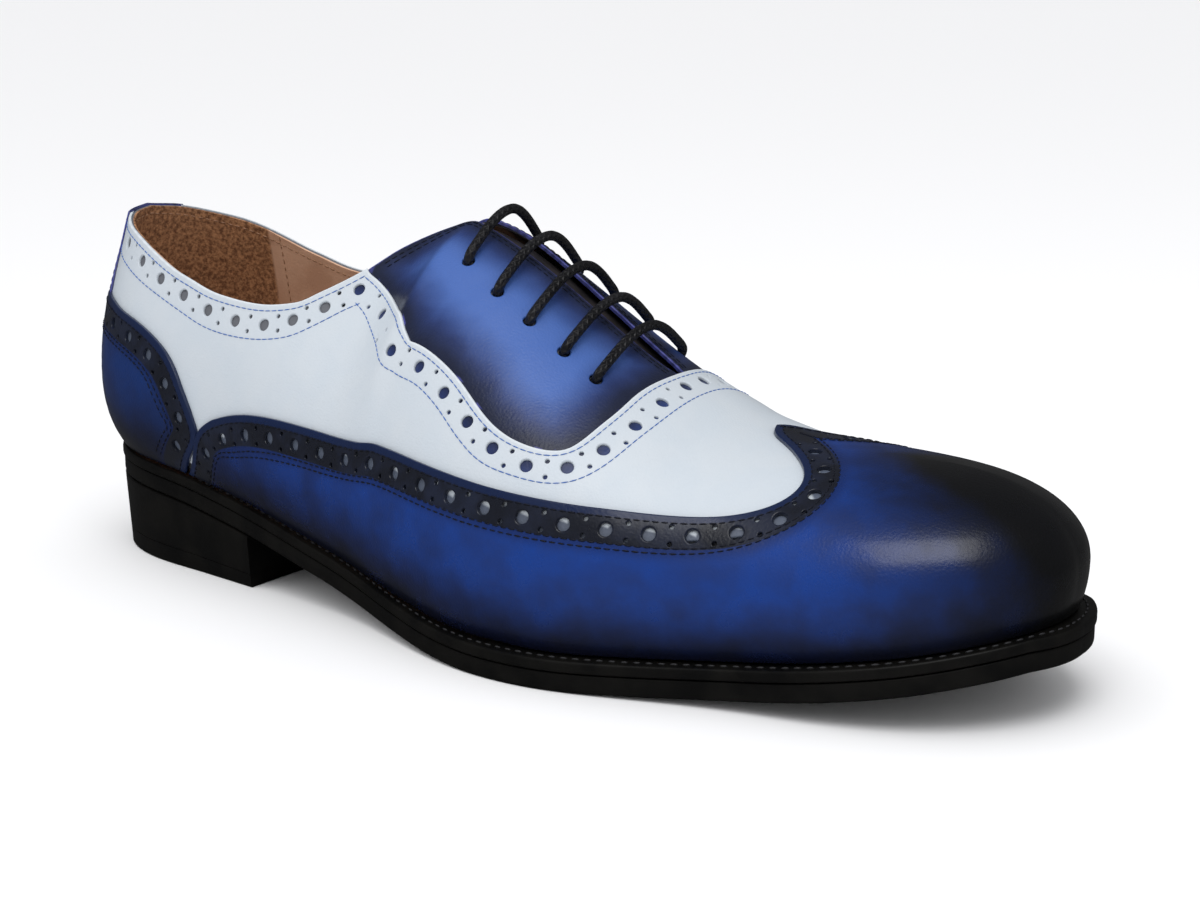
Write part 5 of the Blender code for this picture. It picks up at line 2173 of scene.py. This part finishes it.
@dataclass
class Lace:
    """One round lace through ten holes, its ends hidden under the top ones."""

    shop: Shop
    radius: float = 0.00135
    lift: float = 0.0040
    surface: float = 0.00085
    dip: float = 0.0003
    wall: float = -0.0007
    hidden: float = -0.00298
    rise: float = 0.0012
    flat_share: float = 0.52
    spread: float = 0.22
    turn_back: float = 0.3
    strand: float = 2.4
    braid: float = 0.00022
    step: float = 0.0006
    sides: int = 12

    def knots(self) -> tuple[Array, Array, Array]:
        """Path of the lace: its points, how far each is flattened, and the surface's normal there.

        Returns:
            Points, flatness and normals along the cord.
        """
        last = self.shop.last
        points, flats, ups = [], [], []

        def add(side: Side, station: float, down: float, height: float, lift: float = 0.0,
                flat: float = 0.0) -> None:
            """One point of the path.

            Args:
                side: side of the shoe.
                station: share of the way from heel to toe.
                down: share of the way from centre line to feather line.
                height: height in metres.
                lift: rise above that height.
                flat: how far the cord is flattened there, from 0 to 1.
            """
            spot = np.array([[station * FLAT[0], down * FLAT[1]]])
            normal = last.normal(side, station, down)
            points.append(last.form(side, spot, height)[0] + np.array([0.0, 0.0, lift]))
            flats.append(flat)
            ups.append(normal.reshape(3))

        sides = (Side.LATERAL, Side.MEDIAL)
        for number, (station, down) in enumerate(EYELETS):
            first = sides[number % 2]
            second = sides[1 - number % 2]
            if number == 0:
                add(first, station + 0.020, down + 0.02, self.hidden, flat=1.0)
                add(first, station + 0.010, down + 0.01, self.hidden, flat=1.0)
            add(first, station, down, self.hidden + self.rise, flat=0.4)
            add(first, station, down, self.wall)
            for share in BAR_SHARES:
                height = self.surface - (self.dip if abs(share) > 0.9 else 0.0)
                add(first if share >= 0.0 else second, station, down * abs(share), height,
                    self.lift * (1.0 - share * share) ** 2)
            add(second, station, down, self.wall)
            add(second, station, down, self.hidden + self.rise, flat=0.4)
            if number + 1 < len(EYELETS):
                after = EYELETS[number + 1]
                for share in (0.3, 0.5, 0.7):
                    low = down + (after[1] - down) * share + 0.004
                    add(second, station + (after[0] - station) * share, low, self.hidden, flat=1.0)
        end = sides[1]
        for station, down in LACE_END:
            add(end, station, down, self.hidden, flat=1.0)
        return np.array(points), np.array(flats), np.array(ups)

    def build(self) -> None:
        """Builds the lace and logs its length."""
        points, flats, ups = self.knots()
        way = np.concatenate([[0.0], np.cumsum(np.sqrt(np.linalg.norm(np.diff(points, axis=0), axis=1)))])
        fine = np.linspace(0.0, way[-1], 6000)
        data = np.concatenate([points, flats[:, None], ups], axis=1)
        dense = np.stack([smooth(way, data[:, k], True)(fine) for k in range(3)]
                         + [np.interp(fine, way, data[:, k]) for k in range(3, 7)], -1)
        length = ways(dense[:, :3])
        count = int(length[-1] / self.step)
        at = np.linspace(0.0, length[-1], count)
        path = np.stack([np.interp(at, length, dense[:, k]) for k in range(7)], -1)
        for _ in range(3):
            path[1:-1] = (path[:-2] + 2.0 * path[1:-1] + path[2:]) / 4.0
        tangent = tangents(path[:, :3], False)
        up = path[:, 4:7] - (path[:, 4:7] * tangent).sum(-1, keepdims=True) * tangent
        across = np.cross(tangent, up)
        frame_x = [across[0] / np.linalg.norm(across[0])]
        for k in range(1, count):
            carried = frame_x[-1] - (frame_x[-1] * tangent[k]).sum() * tangent[k]
            wish = across[k] * (1.0 if (across[k] * carried).sum() >= 0.0 else -1.0)
            strength = path[k, 3] * np.linalg.norm(across[k])
            wish = self.turn_back * strength * wish / max(np.linalg.norm(wish), TINY)
            mixed = carried / np.linalg.norm(carried) + wish
            frame_x.append(mixed / np.linalg.norm(mixed))
        x_way = np.array(frame_x)
        y_way = np.cross(tangent, x_way)
        wide = self.radius * (1.0 + self.spread * path[:, 3])
        thin = self.radius * (1.0 - (1.0 - self.flat_share) * path[:, 3])
        around = np.linspace(0.0, 2.0 * math.pi, self.sides, endpoint=False)
        rings = (path[:, None, :3] + np.cos(around)[None, :, None] * (wide[:, None] * x_way)[:, None]
                 + np.sin(around)[None, :, None] * (thin[:, None] * y_way)[:, None])
        faces = []
        n = self.sides
        for i in range(count - 1):
            low, high = i * n, (i + 1) * n
            faces += [(low + k, low + (k + 1) % n, high + (k + 1) % n, high + k) for k in range(n)]
        faces += [tuple(range(n)), tuple(range((count - 1) * n, count * n))]
        mesh = bpy.data.meshes.new("lace_cord")
        mesh.from_pydata(rings.reshape(-1, 3).tolist(), [], faces)
        mark(mesh, "along", np.repeat(at * 1000.0, n))
        mark(mesh, "around_x", np.tile(np.cos(around), count))
        mark(mesh, "around_y", np.tile(np.sin(around), count))
        finish_mesh(mesh, 60.0)
        bars = ["lace_bar_%d" % (k + 1) for k in range(len(EYELETS))]
        place(new_object("lace_cord", mesh), self.material(), Slot.CORD, *bars)
        LOG.info("lace length %.0f mm", length[-1] * 1000.0)

    def material(self) -> Material:
        """Waxed braid: crossing strands by the angle round the cord and the way along it.

        Returns:
            The material.
        """
        finish = Finish("waxed_braid", 0.42, 0.15, 0.0, 900.0, plain_colour(rgb(20, 20, 23), rgb(30, 30, 34)))
        material = finish.make(self.shop.effects)
        t = Tree(material.node_tree)
        angle = t.math("ARCTAN2", t.attribute("around_y"), t.attribute("around_x"))
        along = t.math("MULTIPLY", t.attribute("along"), 2.0 * math.pi / self.strand)
        turns = t.math("MULTIPLY", angle, 4.0)
        one = t.math("SINE", t.math("ADD", turns, along))
        two = t.math("SINE", t.math("SUBTRACT", turns, along))
        height = t.math("MAXIMUM", one, two)
        bump = t.add("ShaderNodeBump", {"Height": height, "Distance": self.braid, "Strength": 1.0})
        shader = material.node_tree.nodes["Principled BSDF"]
        t.link(bump.outputs[0], shader.inputs["Normal"])
        return material


@dataclass
class Studio:
    """Pale floor, soft lights, and the photograph's camera framed on one shoe."""

    eye: tuple[float, float, float] = (0.328, -0.452, 0.1772)
    azimuth: float = 32.43
    elevation: float = 12.62
    focal: float = 1638.0
    aim_pixel: tuple[float, float] = (559.0, 471.0)
    middle: tuple[float, float] = (600.0, 450.0)
    zoom: float = 1.30
    sensor: float = 36.0
    fill: float = 0.80
    gloss: float = 0.07
    sky: float = 1.2
    softness: float = 80.0
    mirrored: float = 0.05
    photo_width: float = 1200.0
    reach: float = 8.0
    pale: tuple[float, float, float, float] = (0.90, 0.90, 0.91, 1.0)
    air: tuple[float, float, float, float] = (0.985, 0.99, 1.0, 1.0)

    def camera(self) -> None:
        """Camera of the photograph, turned to the shoe's middle."""
        data = bpy.data.cameras.new("camera")
        data.sensor_width = self.sensor
        data.lens = self.focal * self.sensor / self.photo_width * self.zoom
        data.clip_end = 60.0
        obj = bpy.data.objects.new("camera", data)
        bpy.context.scene.collection.objects.link(obj)
        bpy.context.scene.camera = obj
        a, e = math.radians(self.azimuth), math.radians(self.elevation)
        back = Vector((math.sin(a) * math.cos(e), -math.cos(a) * math.cos(e), math.sin(e)))
        right = Vector((math.cos(a), math.sin(a), 0.0))
        up = back.cross(right)
        aim = (-back + right * ((self.aim_pixel[0] - self.middle[0]) / self.focal)
               - up * ((self.aim_pixel[1] - self.middle[1]) / self.focal))
        obj.location = self.eye
        obj.rotation_euler = aim.normalized().to_track_quat("-Z", "Y").to_euler()

    def light(self, name: str, place_at: tuple[float, float, float], aim: tuple[float, float, float],
              size: tuple[float, float], power: float) -> None:
        """One soft panel of light.

        Args:
            name: name of the object.
            place_at: place of the panel.
            aim: point that it looks at.
            size: width and height.
            power: power in watts.
        """
        data = bpy.data.lights.new(name, "AREA")
        data.shape = "RECTANGLE"
        data.size, data.size_y = size
        data.energy = power
        obj = bpy.data.objects.new(name, data)
        bpy.context.scene.collection.objects.link(obj)
        obj.location = place_at
        obj.rotation_euler = (Vector(aim) - Vector(place_at)).to_track_quat("-Z", "Y").to_euler()

    def build(self) -> None:
        """Builds floor, world, lights and camera."""
        mesh = bpy.data.meshes.new("floor")
        reach = self.reach
        corners = [(-reach, -reach, 0.0), (reach, -reach, 0.0), (reach, reach, 0.0), (-reach, reach, 0.0)]
        mesh.from_pydata(corners, [], [(0, 1, 2, 3)])
        floor = new_object("floor", mesh)
        material = bpy.data.materials.new("floor")
        material.use_nodes = True
        shader = material.node_tree.nodes["Principled BSDF"]
        tree = Tree(material.node_tree)
        seen = tree.add("ShaderNodeLightPath").outputs["Is Glossy Ray"]
        colour = tree.mix(seen, self.pale, (self.mirrored, self.mirrored, self.mirrored, 1.0))
        tree.link(colour, shader.inputs["Base Color"])
        shader.inputs["Roughness"].default_value = 0.7
        mesh.materials.append(material)
        scene = bpy.context.scene
        world = bpy.data.worlds.new("studio")
        world.use_nodes = True
        back = world.node_tree.nodes["Background"]
        back.inputs["Color"].default_value = self.air
        t = Tree(world.node_tree)
        path = t.add("ShaderNodeLightPath")
        soft = t.math("MULTIPLY_ADD", path.outputs["Is Glossy Ray"], self.gloss - self.fill, self.fill)
        t.link(t.math("MAXIMUM", path.outputs["Is Camera Ray"], soft), back.inputs["Strength"])
        scene.world = world
        sun = bpy.data.lights.new("sky", "SUN")
        sun.energy = self.sky
        sun.angle = math.radians(self.softness)
        obj = bpy.data.objects.new("sky", sun)
        obj.visible_glossy = False
        scene.collection.objects.link(obj)
        obj.rotation_euler = Vector((0.25, 0.35, -1.0)).to_track_quat("-Z", "Y").to_euler()
        self.light("key", (0.30, -0.40, 0.95), (0.02, 0.0, 0.05), (0.7, 0.5), 3.0)
        self.camera()
        scene.view_settings.view_transform = "Standard"
        scene.cycles.use_denoising = True


def main() -> None:
    """Builds the shoe's looks, piece by piece."""
    last = Last()
    low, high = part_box("welt")
    stations = np.linspace(0.0, 1.0, 401)
    plans = [np.stack(last.outline(side, stations, last.margin(stations)), -1) for side in Side]
    plan = np.concatenate(plans)
    own = 0.5 * (plan.min(0) + plan.max(0))
    last.shift = np.array([0.5 * (low[0] + high[0]) - own[0], 0.5 * (low[1] + high[1]) - own[1], 0.0])
    effects = Effects()
    threads = {}
    for name, colour in (("blue", rgb(66, 104, 172)), ("navy", rgb(14, 18, 34)), ("tan", rgb(150, 112, 84)),
                         ("grey", rgb(44, 44, 47))):
        threads[name] = Finish("thread_" + name, 0.6, 0.0, 0.00002, 4000.0,
                               plain_colour(colour, colour)).make(effects)
    shop = Shop(last, Patterns(last), StitchTool(), effects, threads)
    for kind in (Quarters, Facings, Wing, HeelCover, Lining, Tongue, Bottom, Lace):
        kind(shop).build()
        LOG.info("%s done", kind.__name__)
    Studio().build()


if __name__ == "__main__":
    main()
